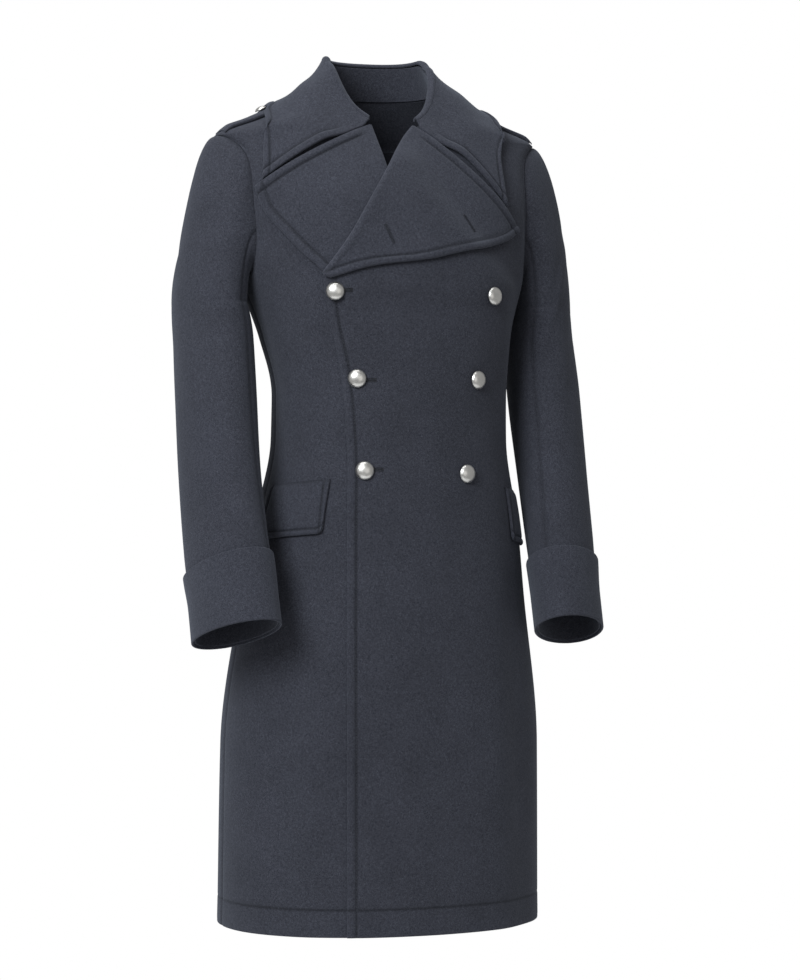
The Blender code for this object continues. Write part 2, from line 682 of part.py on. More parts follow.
def make_flaps(material):
    for word, side in (("left", 1), ("right", -1)):
        wall(f"flap_{word}",
             lambda u, v, side=side: flap_point(side, u, v),
             FLAP_ALONGS, HALVES, -side * FLAP_WALL, material)


# Epaulettes
def shoulder_param(side, x, y):
    """Angle and level of the shoulder's surface over a place."""
    low, high = SHOULDER_Z, NECK_Z
    for _ in range(HALVINGS):
        level = (low + high) / 2
        side_y = BODY["side_y"](level)
        reach = side_y - BODY["front_y"](level) if y < side_y else BODY["back_y"](level) - side_y
        across = abs(x) / BODY["half_width"](level)
        inside = across ** ROUNDNESS + (abs(y - side_y) / reach) ** ROUNDNESS < 1
        low, high = (level, high) if inside else (low, level)
    angle = math.copysign(angle_at_offset(level, abs(y - side_y), reach), side_y - y)
    return angle, level


def strap_point(side, along, across):
    """Outer face of a strap, from the sleeve head to its pointed end."""
    x = mix(STRAP_OUTER_X, STRAP_INNER_X, along)
    pointed = min((STRAP_OUTER_X - STRAP_INNER_X) * (1 - along) / STRAP_POINT, 1.0)
    y = BODY["side_y"](NECK_Z) + STRAP_HALF_WIDTH * across * mix(STRAP_END_SHARE, 1.0, pointed)
    angle, level = shoulder_param(side, x, y)
    height = mix(SEWN_GAP, LAYER_GAP, along) + STRAP_WALL
    return body_point(side, angle, level) + body_normal(side, angle, level) * height


def make_epaulettes(material, metal):
    for word, side in (("left", 1), ("right", -1)):
        strap = wall(f"epaulette_{word}",
                     lambda u, v, side=side: strap_point(side, u, v),
                     STRAP_ALONGS, STRAP_ACROSSES, -side * STRAP_WALL, material)
        angle, level = shoulder_param(side, STRAP_BUTTON_X, BODY["side_y"](NECK_Z))
        normal = body_normal(side, angle, level)
        seat = seat_on(strap, body_point(side, angle, level), normal, STRAP_BUTTON_RADIUS)
        button(f"epaulette_button_{word}", STRAP_BUTTON_RADIUS, seat, normal, metal)


def make_buttons(material):
    front = bpy.data.objects["front_left"]
    for name, x, level in BUTTON_PLACES:
        angle = angle_at_x(1, x, level)
        normal = body_normal(1, angle, level)
        seat = seat_on(front, cloth_point(1, angle, level), normal, BUTTON_RADIUS)
        button(name, BUTTON_RADIUS, seat, normal, material)


def seat_on(piece, place, direction, radius):
    """Place just above a piece's own faces, where a button's shank ends."""
    corners = [vertex.co for vertex in piece.data.vertices]
    faces = [tuple(face.vertices) for face in piece.data.polygons]
    tree = BVHTree.FromPolygons(corners, faces)
    first_way = direction.orthogonal().normalized()
    second_way = direction.cross(first_way)
    heights = []
    for i in range(TURN_STEPS):
        turn = 2 * math.pi * i / TURN_STEPS
        aside = (first_way * math.cos(turn) + second_way * math.sin(turn)) * SHANK_RADIUS_SHARE * radius
        found = tree.ray_cast(place + aside + direction * SEAT_REACH, -direction)[0]
        heights.append((found - place).dot(direction))
    return place + direction * (max(heights) + BUTTON_SEAT)


def button(name, radius, seat, direction, material):
    """Plain domed button on a short shank, turned about its own axis."""
    dome = DOME_SHARE * radius
    shank = SHANK_SHARE * radius
    shank_radius = SHANK_RADIUS_SHARE * radius
    back = shank + RIM_SHARE * radius
    turns = [math.pi / 2 * i / DOME_STEPS for i in range(DOME_STEPS + 1)]
    profile = [(radius * math.sin(turn), back + dome * math.cos(turn)) for turn in turns]
    profile += [(radius * BACK_RADIUS_SHARE, shank), (shank_radius, shank), (shank_radius, 0.0), (0.0, 0.0)]
    mesh = bpy.data.meshes.new(name)
    mesh.from_pydata([(x, 0.0, z) for x, z in profile],
                     [(i, i + 1) for i in range(len(profile) - 1)], [])
    mesh.materials.append(material)
    piece = bpy.data.objects.new(name, mesh)
    coat_collection().objects.link(piece)
    turn = piece.modifiers.new("turned", "SCREW")
    turn.steps = TURN_STEPS
    turn.render_steps = TURN_STEPS
    turn.use_merge_vertices = True
    turn.merge_threshold = 0.00001
    turn.use_smooth_shade = True
    stand_up = direction.to_track_quat("Z", "Y").to_matrix().to_4x4()
    piece.matrix_world = Matrix.Translation(seat) @ stand_up
    return piece


def main():
    for thing in list(bpy.data.objects):
        bpy.data.objects.remove(thing, do_unlink=True)
    wool = finish("wool", WOOL_COLOUR, 0.95)
    folded_wool = finish("folded_wool", FOLD_COLOUR, 0.95)
    metal = finish("silver_metal", METAL_COLOUR, 0.3, 1.0)
    make_fronts(wool)
    make_backs(wool)
    make_sleeves(wool)
    make_cuffs(folded_wool)
    make_lapels(folded_wool)
    make_collar(folded_wool)
    make_flaps(folded_wool)
    make_epaulettes(folded_wool, metal)
    make_buttons(metal)


main()
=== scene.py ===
# %% [markdown]
# A military greatcoat, worn.
#
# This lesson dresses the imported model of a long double-breasted wool coat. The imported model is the
# frame: it already has every piece in its place, as plain walls of cloth with few faces. Here each
# wall is made again from the same named sizes, with fine faces, rounded edges, sewn seams, stitched
# edges and soft folds, and each material gets its fibres, nap and sheen from shader nodes.

# %% Load the frame
import math

import bpy
import numpy as np
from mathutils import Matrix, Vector


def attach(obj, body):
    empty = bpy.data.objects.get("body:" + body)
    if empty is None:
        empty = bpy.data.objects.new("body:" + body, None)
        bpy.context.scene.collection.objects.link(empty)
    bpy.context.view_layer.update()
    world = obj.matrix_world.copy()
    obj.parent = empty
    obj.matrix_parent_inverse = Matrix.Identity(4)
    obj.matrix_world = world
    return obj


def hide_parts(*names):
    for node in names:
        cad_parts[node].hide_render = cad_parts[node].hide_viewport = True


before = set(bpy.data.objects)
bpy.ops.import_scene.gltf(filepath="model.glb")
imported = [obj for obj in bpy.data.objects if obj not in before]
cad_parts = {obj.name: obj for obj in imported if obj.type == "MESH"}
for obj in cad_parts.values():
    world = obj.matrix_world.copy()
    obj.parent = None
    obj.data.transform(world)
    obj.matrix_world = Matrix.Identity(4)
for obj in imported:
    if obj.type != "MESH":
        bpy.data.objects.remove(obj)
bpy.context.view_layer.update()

# %% [markdown]
# The camera comes first, because a few marks on the cloth are placed by where the photograph shows
# them. It stands 4 m away, 18 degrees round to the coat's right, level with the coat's middle,
# and its lens is chosen so that 1.4 mm at the coat covers one pixel.

# %% Camera
VIEW_TURN = math.radians(-18)
VIEW_DISTANCE = 4.0
PIXEL_SIZE = 0.0014
FRAME_WIDTH = 800
FRAME_HEIGHT = 980
AIM_LEVEL = -0.560
AIM_ASIDE = 0.0308
SENSOR_HEIGHT = 24.0

view_right = np.array((math.cos(VIEW_TURN), math.sin(VIEW_TURN), 0.0))
view_back = np.array((math.sin(VIEW_TURN), -math.cos(VIEW_TURN), 0.0))
aim = np.array((0.0, 0.0, AIM_LEVEL)) + view_right * AIM_ASIDE
camera_data = bpy.data.cameras.new("photo_camera")
camera_data.sensor_fit = "VERTICAL"
camera_data.sensor_height = SENSOR_HEIGHT
camera_data.lens = SENSOR_HEIGHT * VIEW_DISTANCE / (FRAME_HEIGHT * PIXEL_SIZE)
camera = bpy.data.objects.new("photo_camera", camera_data)
camera.location = aim + view_back * VIEW_DISTANCE
camera.rotation_euler = (math.pi / 2, 0.0, VIEW_TURN)
bpy.context.scene.collection.objects.link(camera)
bpy.context.scene.camera = camera


def pixel_of(points):
    """Column and row of the photograph at which points show."""
    depth = VIEW_DISTANCE - (points - aim) @ view_back
    scale = VIEW_DISTANCE / depth / PIXEL_SIZE
    column = FRAME_WIDTH / 2 + ((points - aim) @ view_right) * scale
    row = FRAME_HEIGHT / 2 - (points[..., 2] - AIM_LEVEL) * scale
    return column, row


print("camera lens", round(camera_data.lens, 2), "mm")

# %% [markdown]
# The coat's sizes are the ones that its solids were made from. A real coat is cut from flat pattern
# pieces, but a worn coat is easier to describe by sections of the form inside it, so the tables give
# the half width and depth of the body form level by level. A smooth curve through each column gives
# every level between, and it never swings past the numbers in the table.

# %% Curves through tables
WALL = 0.0025
SEAM_GAP = 0.0004
SEWN_GAP = 0.0007
LAYER_GAP = 0.0012
ROLL_RADIUS = 0.0020
LAPEL_TOP = 2 * ROLL_RADIUS + WALL
TURN_STEP = 0.004
LEVEL_STEP = 0.0006
SIDES = (("left", 1), ("right", -1))


def curve_through(points):
    """Smooth curve through points of (x, y) that never overshoots them."""
    xs, ys = np.array(sorted(points), dtype=float).T
    slopes = np.diff(ys) / np.diff(xs)
    before, after = slopes[:-1], slopes[1:]
    same_way = before * after > 0
    middle = np.where(same_way, 2 * before * after / np.where(same_way, before + after, 1.0), 0.0)
    tangents = np.concatenate(([slopes[0]], middle, [slopes[-1]]))

    def value(x):
        x = np.clip(x, xs[0], xs[-1])
        i = np.clip(np.searchsorted(xs, x, side="left") - 1, 0, len(slopes) - 1)
        span = xs[i + 1] - xs[i]
        t = (x - xs[i]) / span
        low = (1 + 2 * t) * (1 - t) ** 2 * ys[i] + t * (1 - t) ** 2 * span * tangents[i]
        high = t * t * (3 - 2 * t) * ys[i + 1] - t * t * (1 - t) * span * tangents[i + 1]
        return low + high

    return value


def curves_of(columns, rows):
    """One smooth curve for each column of a table, by its first column."""
    return {name: curve_through([(row[0], row[i]) for row in rows])
            for i, name in enumerate(columns) if i > 0}


def mix(a, b, share):
    return a + (b - a) * share


def smooth_step(x):
    x = np.clip(x, 0.0, 1.0)
    return x * x * (3 - 2 * x)


def signed_power(value, power):
    return np.copysign(np.abs(value) ** power, value)


def unit(vectors):
    return vectors / np.linalg.norm(vectors, axis=-1, keepdims=True)


def points_of(x, y, z):
    return np.stack(np.broadcast_arrays(x, y, z), axis=-1).astype(float)


# %% Sizes of the body form
HEM_Z = -1.159
WAIST_Z = -0.450
BREAK_Z = -0.277
ARMPIT_Z = -0.270
SHOULDER_Z = -0.072
GORGE_Z = -0.060
NECK_Z = -0.005
ROUNDNESS = 2.2
BODY_COLUMNS = ("level", "half_width", "front_y", "back_y", "side_y", "middle_x")
BODY_SECTIONS = (
    (HEM_Z, 0.226, -0.172, 0.172, 0.000, 0.000),
    (-0.910, 0.224, -0.166, 0.160, -0.004, 0.001),
    (-0.714, 0.201, -0.160, 0.142, -0.012, 0.003),
    (-0.600, 0.184, -0.157, 0.128, -0.018, 0.007),
    (-0.490, 0.164, -0.156, 0.114, -0.022, 0.008),
    (-0.430, 0.163, -0.156, 0.113, -0.021, 0.008),
    (-0.350, 0.176, -0.157, 0.122, -0.014, 0.005),
    (ARMPIT_Z, 0.201, -0.152, 0.130, -0.004, 0.003),
    (-0.180, 0.222, -0.132, 0.134, 0.006, 0.001),
    (-0.120, 0.231, -0.106, 0.131, 0.010, 0.000),
    (SHOULDER_Z, 0.232, -0.077, 0.122, 0.012, 0.000),
    (-0.050, 0.184, -0.063, 0.112, 0.012, 0.000),
    (-0.030, 0.140, -0.052, 0.102, 0.012, 0.000),
    (NECK_Z, 0.085, -0.042, 0.088, 0.012, 0.000),
)
ARMHOLE_FRONT = 0.070
ARMHOLE_BACK = 0.066
ARMHOLE_ROUNDNESS = 2.5
ARMHOLE_MIDDLE_Z = (SHOULDER_Z + ARMPIT_Z) / 2
ARMHOLE_HALF_HEIGHT = (SHOULDER_Z - ARMPIT_Z) / 2
# Each of these lines is a table of level and x.
LEFT_FRONT_EDGE = ((HEM_Z, -0.094), (-0.840, -0.092), (-0.600, -0.088), (-0.525, -0.086),
                   (-0.470, -0.088), (-0.404, -0.094), (-0.325, -0.110), (BREAK_Z, -0.116))
RIGHT_FRONT_EDGE = ((HEM_Z, 0.104), (-0.405, 0.104), (BREAK_Z, 0.100))
LEFT_ROLL_LINE = ((BREAK_Z, -0.116), (-0.217, -0.074), (-0.180, -0.052), (-0.139, -0.025),
                  (-0.080, 0.014), (GORGE_Z, 0.032))
RIGHT_ROLL_LINE = ((BREAK_Z, 0.100), (-0.200, 0.024), (-0.139, -0.023), (-0.104, -0.030),
                   (GORGE_Z, -0.037))
NECKLINE = ((GORGE_Z, 0.034), (-0.045, 0.053), (-0.030, 0.067), (-0.015, 0.078), (NECK_Z, 0.0835))
OVERLAP_BEYOND = 0.024
OVERLAP_FADE = 0.060
OVERLAP_TOP_Z = -0.125
OVERLAP_TOP_FADE = 0.045
OVER_LAPEL_Z = -0.318
OVER_LAPEL_FADE = 0.035

BODY = curves_of(BODY_COLUMNS, BODY_SECTIONS)
FRONT_EDGE = {1: curve_through(LEFT_FRONT_EDGE), -1: curve_through(RIGHT_FRONT_EDGE)}
ROLL_LINE = {1: curve_through(LEFT_ROLL_LINE), -1: curve_through(RIGHT_ROLL_LINE)}
NECK_X = curve_through(NECKLINE)
print("half width at the waist", float(BODY["half_width"](WAIST_Z)), "m")

# %% [markdown]
# A place on the body form is a side, an angle and a level. Side is 1 on the coat's left and -1 on
# its right, and the angle turns from the side seam, forwards when it is positive. Whatever lies on
# the coat is made from these places moved out along the cloth's own direction, so a flap or a lapel
# follows each hollow and fold under it.

# %% Places on the body form
def depth_from_side(in_front, level):
    """Distance from the side line to the front or the back of the body form."""
    side_y = BODY["side_y"](level)
    return np.where(in_front, side_y - BODY["front_y"](level), BODY["back_y"](level) - side_y)


def body_point(side, angle, level):
    side_y = BODY["side_y"](level)
    reach = depth_from_side(np.sin(angle) > 0, level)
    across = BODY["half_width"](level) * signed_power(np.cos(angle), 2 / ROUNDNESS)
    return points_of(BODY["middle_x"](level) + side * across,
                     side_y - reach * signed_power(np.sin(angle), 2 / ROUNDNESS), level)


def body_normal(side, angle, level):
    """Outward direction of the body form."""
    level = np.clip(level, HEM_Z + LEVEL_STEP, NECK_Z - LEVEL_STEP)
    along = body_point(side, angle + TURN_STEP, level) - body_point(side, angle - TURN_STEP, level)
    up = body_point(side, angle, level + LEVEL_STEP) - body_point(side, angle, level - LEVEL_STEP)
    return unit(np.cross(up, along) * np.asarray(side, dtype=float)[..., None])


def angle_at_x(side, x, level):
    """Angle of the front place that has this X."""
    share = np.clip(side * (x - BODY["middle_x"](level)) / BODY["half_width"](level), -1.0, 1.0)
    return np.arccos(signed_power(share, ROUNDNESS / 2))


def angle_at_offset(offset, reach):
    """Angle of the place that lies this far in front of or behind the side line."""
    return np.arcsin(np.minimum(offset / reach, 1.0) ** (ROUNDNESS / 2))


def armhole_share(level):
    """Width of the armhole at a level, as a share of its greatest."""
    share = np.minimum(np.abs(level - ARMHOLE_MIDDLE_Z) / ARMHOLE_HALF_HEIGHT, 1.0)
    return (1 - share ** ARMHOLE_ROUNDNESS) ** (1 / ARMHOLE_ROUNDNESS)


def front_side_angle(level):
    offset = np.maximum(SEAM_GAP / 2, ARMHOLE_FRONT * armhole_share(level))
    return angle_at_offset(offset, depth_from_side(True, level))


def back_side_angle(level):
    offset = np.maximum(SEAM_GAP / 2, ARMHOLE_BACK * armhole_share(level))
    return -angle_at_offset(offset, depth_from_side(False, level))


def front_edge_x(side, level):
    """X of a front's free edge: front edge, roll line, neckline."""
    above = np.where(level <= GORGE_Z, ROLL_LINE[side](level), side * NECK_X(level))
    return np.where(level <= BREAK_Z, FRONT_EDGE[side](level), above)


# %% [markdown]
# Heavy wool hangs in a few broad, shallow folds. One way to get them is to simulate the cloth, but
# a tailored coat in melton hardly moves from its cut, so here each fold is a row in a table: a long
# soft swelling or hollow with a place, a slant, a length, a width and a height. The same function
# lifts the left front where it laps over the right one.

# %% Soft folds and the overlap
# The columns are x, z, slant in degrees, half length, half width and height.
FRONT_FOLDS = (
    (-0.172, -0.215, 4.0, 0.080, 0.016, -0.0026),
    (0.172, -0.225, -4.0, 0.080, 0.016, -0.0026),
    (-0.150, -0.360, 8.0, 0.070, 0.018, 0.0022),
    (-0.122, -0.400, 10.0, 0.080, 0.014, -0.0016),
    (0.150, -0.365, -8.0, 0.080, 0.018, 0.0020),
    (0.126, -0.440, -12.0, 0.070, 0.014, -0.0014),
    (-0.168, -0.820, 2.0, 0.260, 0.022, -0.0030),
    (-0.138, -0.900, 1.0, 0.240, 0.020, 0.0024),
    (0.060, -0.940, -1.0, 0.230, 0.024, -0.0016),
    (0.120, -0.900, -2.0, 0.250, 0.022, 0.0026),
    (0.160, -0.860, -2.0, 0.280, 0.018, -0.0030),
    (0.010, -0.460, 80.0, 0.070, 0.010, -0.0008),
)
BACK_FOLDS = (
    (-0.060, -0.900, 1.0, 0.280, 0.026, 0.0040),
    (-0.120, -0.880, 2.0, 0.280, 0.026, -0.0036),
    (0.060, -0.900, -1.0, 0.280, 0.026, 0.0040),
    (0.120, -0.880, -2.0, 0.280, 0.026, -0.0036),
    (-0.130, -0.300, 14.0, 0.120, 0.020, -0.0030),
    (0.130, -0.300, -14.0, 0.120, 0.020, -0.0030),
    (0.000, -0.440, 90.0, 0.090, 0.014, -0.0016),
)
DRAPE_FADE = 3


def soft_marks(x, z, rows):
    """Height of a table of long soft swellings at places (x, z)."""
    height = np.zeros(np.broadcast(x, z).shape)
    for mark_x, mark_z, slant, half_length, half_width, rise in rows:
        lean = math.radians(slant)
        along = (x - mark_x) * math.sin(lean) + (z - mark_z) * math.cos(lean)
        aside = (x - mark_x) * math.cos(lean) - (z - mark_z) * math.sin(lean)
        height += rise * np.exp(-(along / half_length) ** 2 - (aside / half_width) ** 2)
    return height


def drape(side, angle, level):
    """Height of the folds over the body form."""
    place = body_point(side, angle, level)
    front = soft_marks(place[..., 0], place[..., 2], FRONT_FOLDS)
    back = soft_marks(place[..., 0], place[..., 2], BACK_FOLDS)
    away_from_side = np.sin(angle) * DRAPE_FADE
    return front * smooth_step(away_from_side) + back * smooth_step(-away_from_side)


def overlap_lift(side, angle, level):
    """Height of the left front over the body form, where it covers the right front."""
    x = body_point(side, angle, level)[..., 0]
    covered = 1 - smooth_step((x - front_edge_x(-1, level) - OVERLAP_BEYOND) / OVERLAP_FADE)
    covered = covered * (1 - smooth_step((level - OVERLAP_TOP_Z) / OVERLAP_TOP_FADE))
    over_lapel = smooth_step((level - OVER_LAPEL_Z) / OVER_LAPEL_FADE)
    one_layer = LAYER_GAP + WALL
    lifted = covered * mix(one_layer, LAPEL_TOP + one_layer, over_lapel)
    return np.where((np.asarray(side) > 0) & (np.sin(angle) > 0), lifted, 0.0)


def cloth_point(side, angle, level, height=0.0):
    """Place over the coat's own surface, moved out along its direction."""
    height = height + overlap_lift(side, angle, level) + drape(side, angle, level)
    return body_point(side, angle, level) + body_normal(side, angle, level) * height[..., None]


# %% [markdown]
# Every piece of cloth is a grid of places for its outer face. One helper turns such a grid into a
# closed wall. It measures how far each place is from each border of the grid, along the cloth, and
# uses that to round the border, to sink a seam, or to press a row of stitching and let the strip
# between the stitching and the edge swell, as the turned seam allowance inside it does. It also
# paints shade into the cloth's colour along each seam and each row of stitching.

# %% Borders of a piece of cloth
GROOVE_WIDTH = 0.0021
SEAM_WIDTH = 0.0048
SEAM_DIP = 0.0013
SEAM_ROUND = 0.0005
SEAM_REACH = 0.00022
TROUGH_DEPTH = 0.0028
TROUGH_WIDTH = 0.0110
BORDER_KINDS = {
    "stitched": {"inset": 0.0125, "depth": 0.0014, "swell": 0.0013},
    "edge": {"inset": 0.0125, "depth": 0.0010, "swell": 0.0008},
    "fine": {"inset": 0.0080, "depth": 0.0009, "swell": 0.0008},
    "hemmed": {"inset": 0.0370, "depth": 0.0004, "swell": 0.0005},
    "sewn": {},
    # A joined border has no dip and no rounding; it only gets painted shade along the seam.
    "joined": {},
    "plain": {},
}
SEWN_KINDS = ("sewn", "joined")
EDGE_MARKS = (0.0, 0.0002, 0.0006, 0.0012, 0.0020, 0.0032, 0.0050, 0.0075)
GROOVE_MARKS = (-0.0032, -0.0018, -0.0009, 0.0, 0.0009, 0.0018, 0.0032)
MARKED_SHARE = 0.45
# Share of painted shade that darkens the colour along a sewn or joined seam.
SEAM_SHADE = 0.45


def shares_along(length, step, first="plain", last="plain"):
    """Shares from 0 to 1 along a grid, closer together at a border and at its stitching."""
    def marks(kind):
        found = list(EDGE_MARKS)
        inset = BORDER_KINDS[kind].get("inset")
        if inset:
            found += [inset + mark for mark in GROOVE_MARKS]
        return [mark for mark in found if mark < length * MARKED_SHARE]

    low = marks(first)
    high = marks(last)
    count = max(2, round((length - max(low) - max(high)) / step))
    middle = np.linspace(max(low), length - max(high), count + 1)[1:-1]
    places = sorted(set(low) | set(middle) | {length - mark for mark in high})
    return np.array(places) / length


def grid_directions(grid, ring):
    """Outward direction at each place of a grid, before its sign is known."""
    if ring:
        along = np.roll(grid, -1, axis=0) - np.roll(grid, 1, axis=0)
    else:
        along = np.gradient(grid, axis=0)
    return unit(np.cross(along, np.gradient(grid, axis=1)))


def border_distances(grid):
    """Distance of each place from the four borders, along the cloth."""
    steps_u = np.linalg.norm(np.diff(grid, axis=0), axis=2)
    steps_v = np.linalg.norm(np.diff(grid, axis=1), axis=2)
    from_u0 = np.concatenate((np.zeros((1, grid.shape[1])), np.cumsum(steps_u, axis=0)), axis=0)
    from_v0 = np.concatenate((np.zeros((grid.shape[0], 1)), np.cumsum(steps_v, axis=1)), axis=1)
    return {"u0": from_u0, "u1": from_u0[-1:] - from_u0,
            "v0": from_v0, "v1": from_v0[:, -1:] - from_v0}


def round_off(away, radius):
    """How far a rounded border has fallen at a distance from it."""
    inside = np.clip(radius - away, 0.0, radius)
    return radius - np.sqrt(radius ** 2 - inside ** 2)


def trough(distance):
    """Soft hollow beside a seam that is pulled in, such as the armhole."""
    return -TROUGH_DEPTH * np.exp(-(distance / TROUGH_WIDTH) ** 2)


def seam_relief(grid, borders, thickness, edge_round):
    """Height, fall and painted seam shade of the cloth at each place, from the kinds of its borders."""
    away = border_distances(grid)
    height = np.zeros(grid.shape[:2])
    fall = np.zeros(grid.shape[:2])
    painted_shade = np.zeros(grid.shape[:2])
    for border, (kind, where) in borders.items():
        distance = away[border]
        facts = BORDER_KINDS[kind]
        if kind in SEWN_KINDS:
            dip = np.exp(-(distance / SEAM_WIDTH) ** 2) * where
            # Painted shade: the colour darkens along the seam.
            painted_shade = np.maximum(painted_shade, SEAM_SHADE * dip)
            if kind == "sewn":
                height -= SEAM_DIP * dip
                fall = np.maximum(fall, round_off(distance, SEAM_ROUND))
            continue
        fall = np.maximum(fall, round_off(distance, edge_round * thickness))
        if facts:
            groove = np.exp(-((distance - facts["inset"]) / GROOVE_WIDTH) ** 2) * where
            swell = np.sin(math.pi * np.clip(distance / facts["inset"], 0.0, 1.0)) * where
            height += facts["swell"] * swell - facts["depth"] * groove
            # Painted shade in the stitch groove.
            painted_shade = np.maximum(painted_shade, groove)
    return height, fall, painted_shade


def reach_over_seams(grid, borders):
    """Grid whose sewn borders run on to meet the cloth that they are sewn to."""
    grid = grid.copy()
    for border, (kind, _) in borders.items():
        if kind in SEWN_KINDS:
            rows = grid if border[0] == "u" else grid.transpose(1, 0, 2)
            rows = rows if border[1] == "0" else rows[::-1]
            rows[0] += unit(rows[0] - rows[1]) * SEAM_REACH
    return grid


# %% A closed wall of cloth
def mesh_object(name, places, faces, material, painted_shade=None):
    """Make a smooth mesh object whose faces point out; a face with a doubled corner is a triangle."""
    mesh = bpy.data.meshes.new(name)
    places = np.asarray(places, dtype=float)
    faces = np.asarray(faces)
    a, b, c, d = (places[faces[:, i]] for i in range(4))
    volume = (a * (np.cross(b, c) + np.cross(c, d))).sum()
    if volume < 0:
        faces = faces[:, ::-1]
    mesh.from_pydata(places.tolist(), [], [list(dict.fromkeys(face)) for face in faces.tolist()])
    mesh.materials.append(material)
    mesh.shade_smooth()
    # The painted shade of seams, stitching and button rims goes into a point attribute.
    if painted_shade is not None:
        layer = mesh.attributes.new("painted_shade", "FLOAT", "POINT")
        layer.data.foreach_set("value", np.asarray(painted_shade, dtype=np.float32))
    piece = bpy.data.objects.new(name, mesh)
    bpy.context.scene.collection.objects.link(piece)
    return piece


def wall_faces(rows, columns, ring):
    """Faces of a closed wall between two grids of the same size."""
    index = np.arange(rows * columns).reshape(rows, columns)
    other = index + rows * columns
    if ring:
        index = np.concatenate((index, index[:1]))
        other = np.concatenate((other, other[:1]))

    def quads(grid):
        corners = (grid[:-1, :-1], grid[1:, :-1], grid[1:, 1:], grid[:-1, 1:])
        return np.stack(corners, axis=-1).reshape(-1, 4)

    def strip(near, far):
        return np.stack((near[:-1], near[1:], far[1:], far[:-1]), axis=-1)

    faces = [quads(index), quads(other)[:, ::-1],
             strip(other[:, 0], index[:, 0]), strip(index[:, -1], other[:, -1])]
    if not ring:
        faces += [strip(index[0], other[0]), strip(other[-1], index[-1])]
    return np.concatenate(faces)


cloth_made = {}


def cloth_piece(name, grid, thickness, borders, outside, material, ring=False, extra=None,
                thick_edges=0, edge_round=0.48, under_round=0.6):
    """Closed wall of cloth that stands for the frame's node of the same name."""
    borders = {border: kind if isinstance(kind, tuple) else (kind, 1.0)
               for border, kind in borders.items()}
    grid = reach_over_seams(grid, borders)
    direction = grid_directions(grid, ring) * outside
    raised = np.zeros(grid.shape[:2]) if extra is None else extra
    body = thickness + np.maximum(raised, 0.0) * thick_edges
    height, fall, painted_shade = seam_relief(grid, borders, body, edge_round)
    outer = grid + direction * (height + raised - fall)[..., None]
    inner = grid - direction * (thickness - fall * under_round)[..., None]
    rows, columns = grid.shape[:2]
    places = np.concatenate((outer.reshape(-1, 3), inner.reshape(-1, 3)))
    # Painted shade of the outer face only.
    marks = np.concatenate((painted_shade.ravel(), np.zeros(rows * columns)))
    piece = mesh_object(f"coat_{name}", places, wall_faces(rows, columns, ring), material, marks)
    away = border_distances(grid)
    width = float(away["u0"][-1].max())
    length = float(away["v0"][:, -1].max())
    if ring:
        width += float(np.linalg.norm(grid[0] - grid[-1], axis=-1).max())
    sides = np.cross(np.gradient(grid, axis=0), np.gradient(grid, axis=1))
    area = float(np.linalg.norm(sides, axis=-1)[:-1, :-1].sum())
    cloth_made[name] = {"piece": piece, "grid": grid, "outer": outer, "direction": direction,
                        "away": away, "borders": borders}
    print(f"{name}: {len(places)} places, {width:.3f} x {length:.3f} m, {area:.4f} m2")
    return piece


# %% [markdown]
# The wool is a felted melton in dark blue grey. Such cloth is melange: fibres of several shades are
# mixed before spinning, so close up it is a fine fleck of navy, slate and pale grey, and it has a
# short nap that catches light at a glancing angle. Image textures could hold this, but noise on
# Object coordinates needs no seams and stays sharp at any distance, so the fleck is a node group.

# %% A node group for melange wool
NOISE_SPAN = (0.3, 0.7)
FINER_SCALE = 1.9
CLUMP_SCALE = 0.32
CLOUD_SCALE = 16.0
DARK_FLECKS = (0.52, 0.36)
PALE_FLECKS = (0.54, 0.70)
PALE_IN_CLUMPS = (0.34, 0.62, 0.25, 1.0)
CLUMP_LIGHT = (0.86, 1.15)
# How much the painted shade darkens the wool's colour along seams and stitch grooves.
SEAM_SHADE_DARKER = 0.50
SEAM_NAP_FLATTER = 0.6
FINE_NAP = 0.6
CLUMP_NAP = 0.5
WOOL_ROUGHNESS = (0.98, 0.86)


def new_group(name, inputs, outputs):
    """Node group with named sockets; returns the tree and its two end nodes."""
    tree = bpy.data.node_groups.new(name, "ShaderNodeTree")
    for label, kind, value in inputs:
        socket = tree.interface.new_socket(label, in_out="INPUT", socket_type=kind)
        socket.default_value = value
    for label, kind in outputs:
        tree.interface.new_socket(label, in_out="OUTPUT", socket_type=kind)
    return tree, tree.nodes.new("NodeGroupInput"), tree.nodes.new("NodeGroupOutput")


def feed(tree, socket, value):
    """Link a socket to another one, or set it to a number or colour."""
    if hasattr(value, "is_linked"):
        tree.links.new(value, socket)
    else:
        socket.default_value = value


def noise(tree, places, scale, detail, roughness):
    """Noise texture at a scale in cells for each metre."""
    node = tree.nodes.new("ShaderNodeTexNoise")
    node.inputs["Detail"].default_value = detail
    node.inputs["Roughness"].default_value = roughness
    feed(tree, node.inputs["Scale"], scale)
    tree.links.new(places, node.inputs["Vector"])
    return node.outputs["Fac"]


def math_of(tree, operation, first, second):
    """Math node; each side is a socket or a number."""
    node = tree.nodes.new("ShaderNodeMath")
    node.operation = operation
    feed(tree, node.inputs[0], first)
    feed(tree, node.inputs[1], second)
    return node.outputs[0]


def product(tree, first, second):
    return math_of(tree, "MULTIPLY", first, second)


def added(tree, first, second):
    return math_of(tree, "ADD", first, second)


def remap(tree, value, low, high, to_low=0.0, to_high=1.0):
    node = tree.nodes.new("ShaderNodeMapRange")
    tree.links.new(value, node.inputs["Value"])
    labels = ("From Min", "From Max", "To Min", "To Max")
    for label, number in zip(labels, (low, high, to_low, to_high)):
        node.inputs[label].default_value = number
    return node.outputs["Result"]


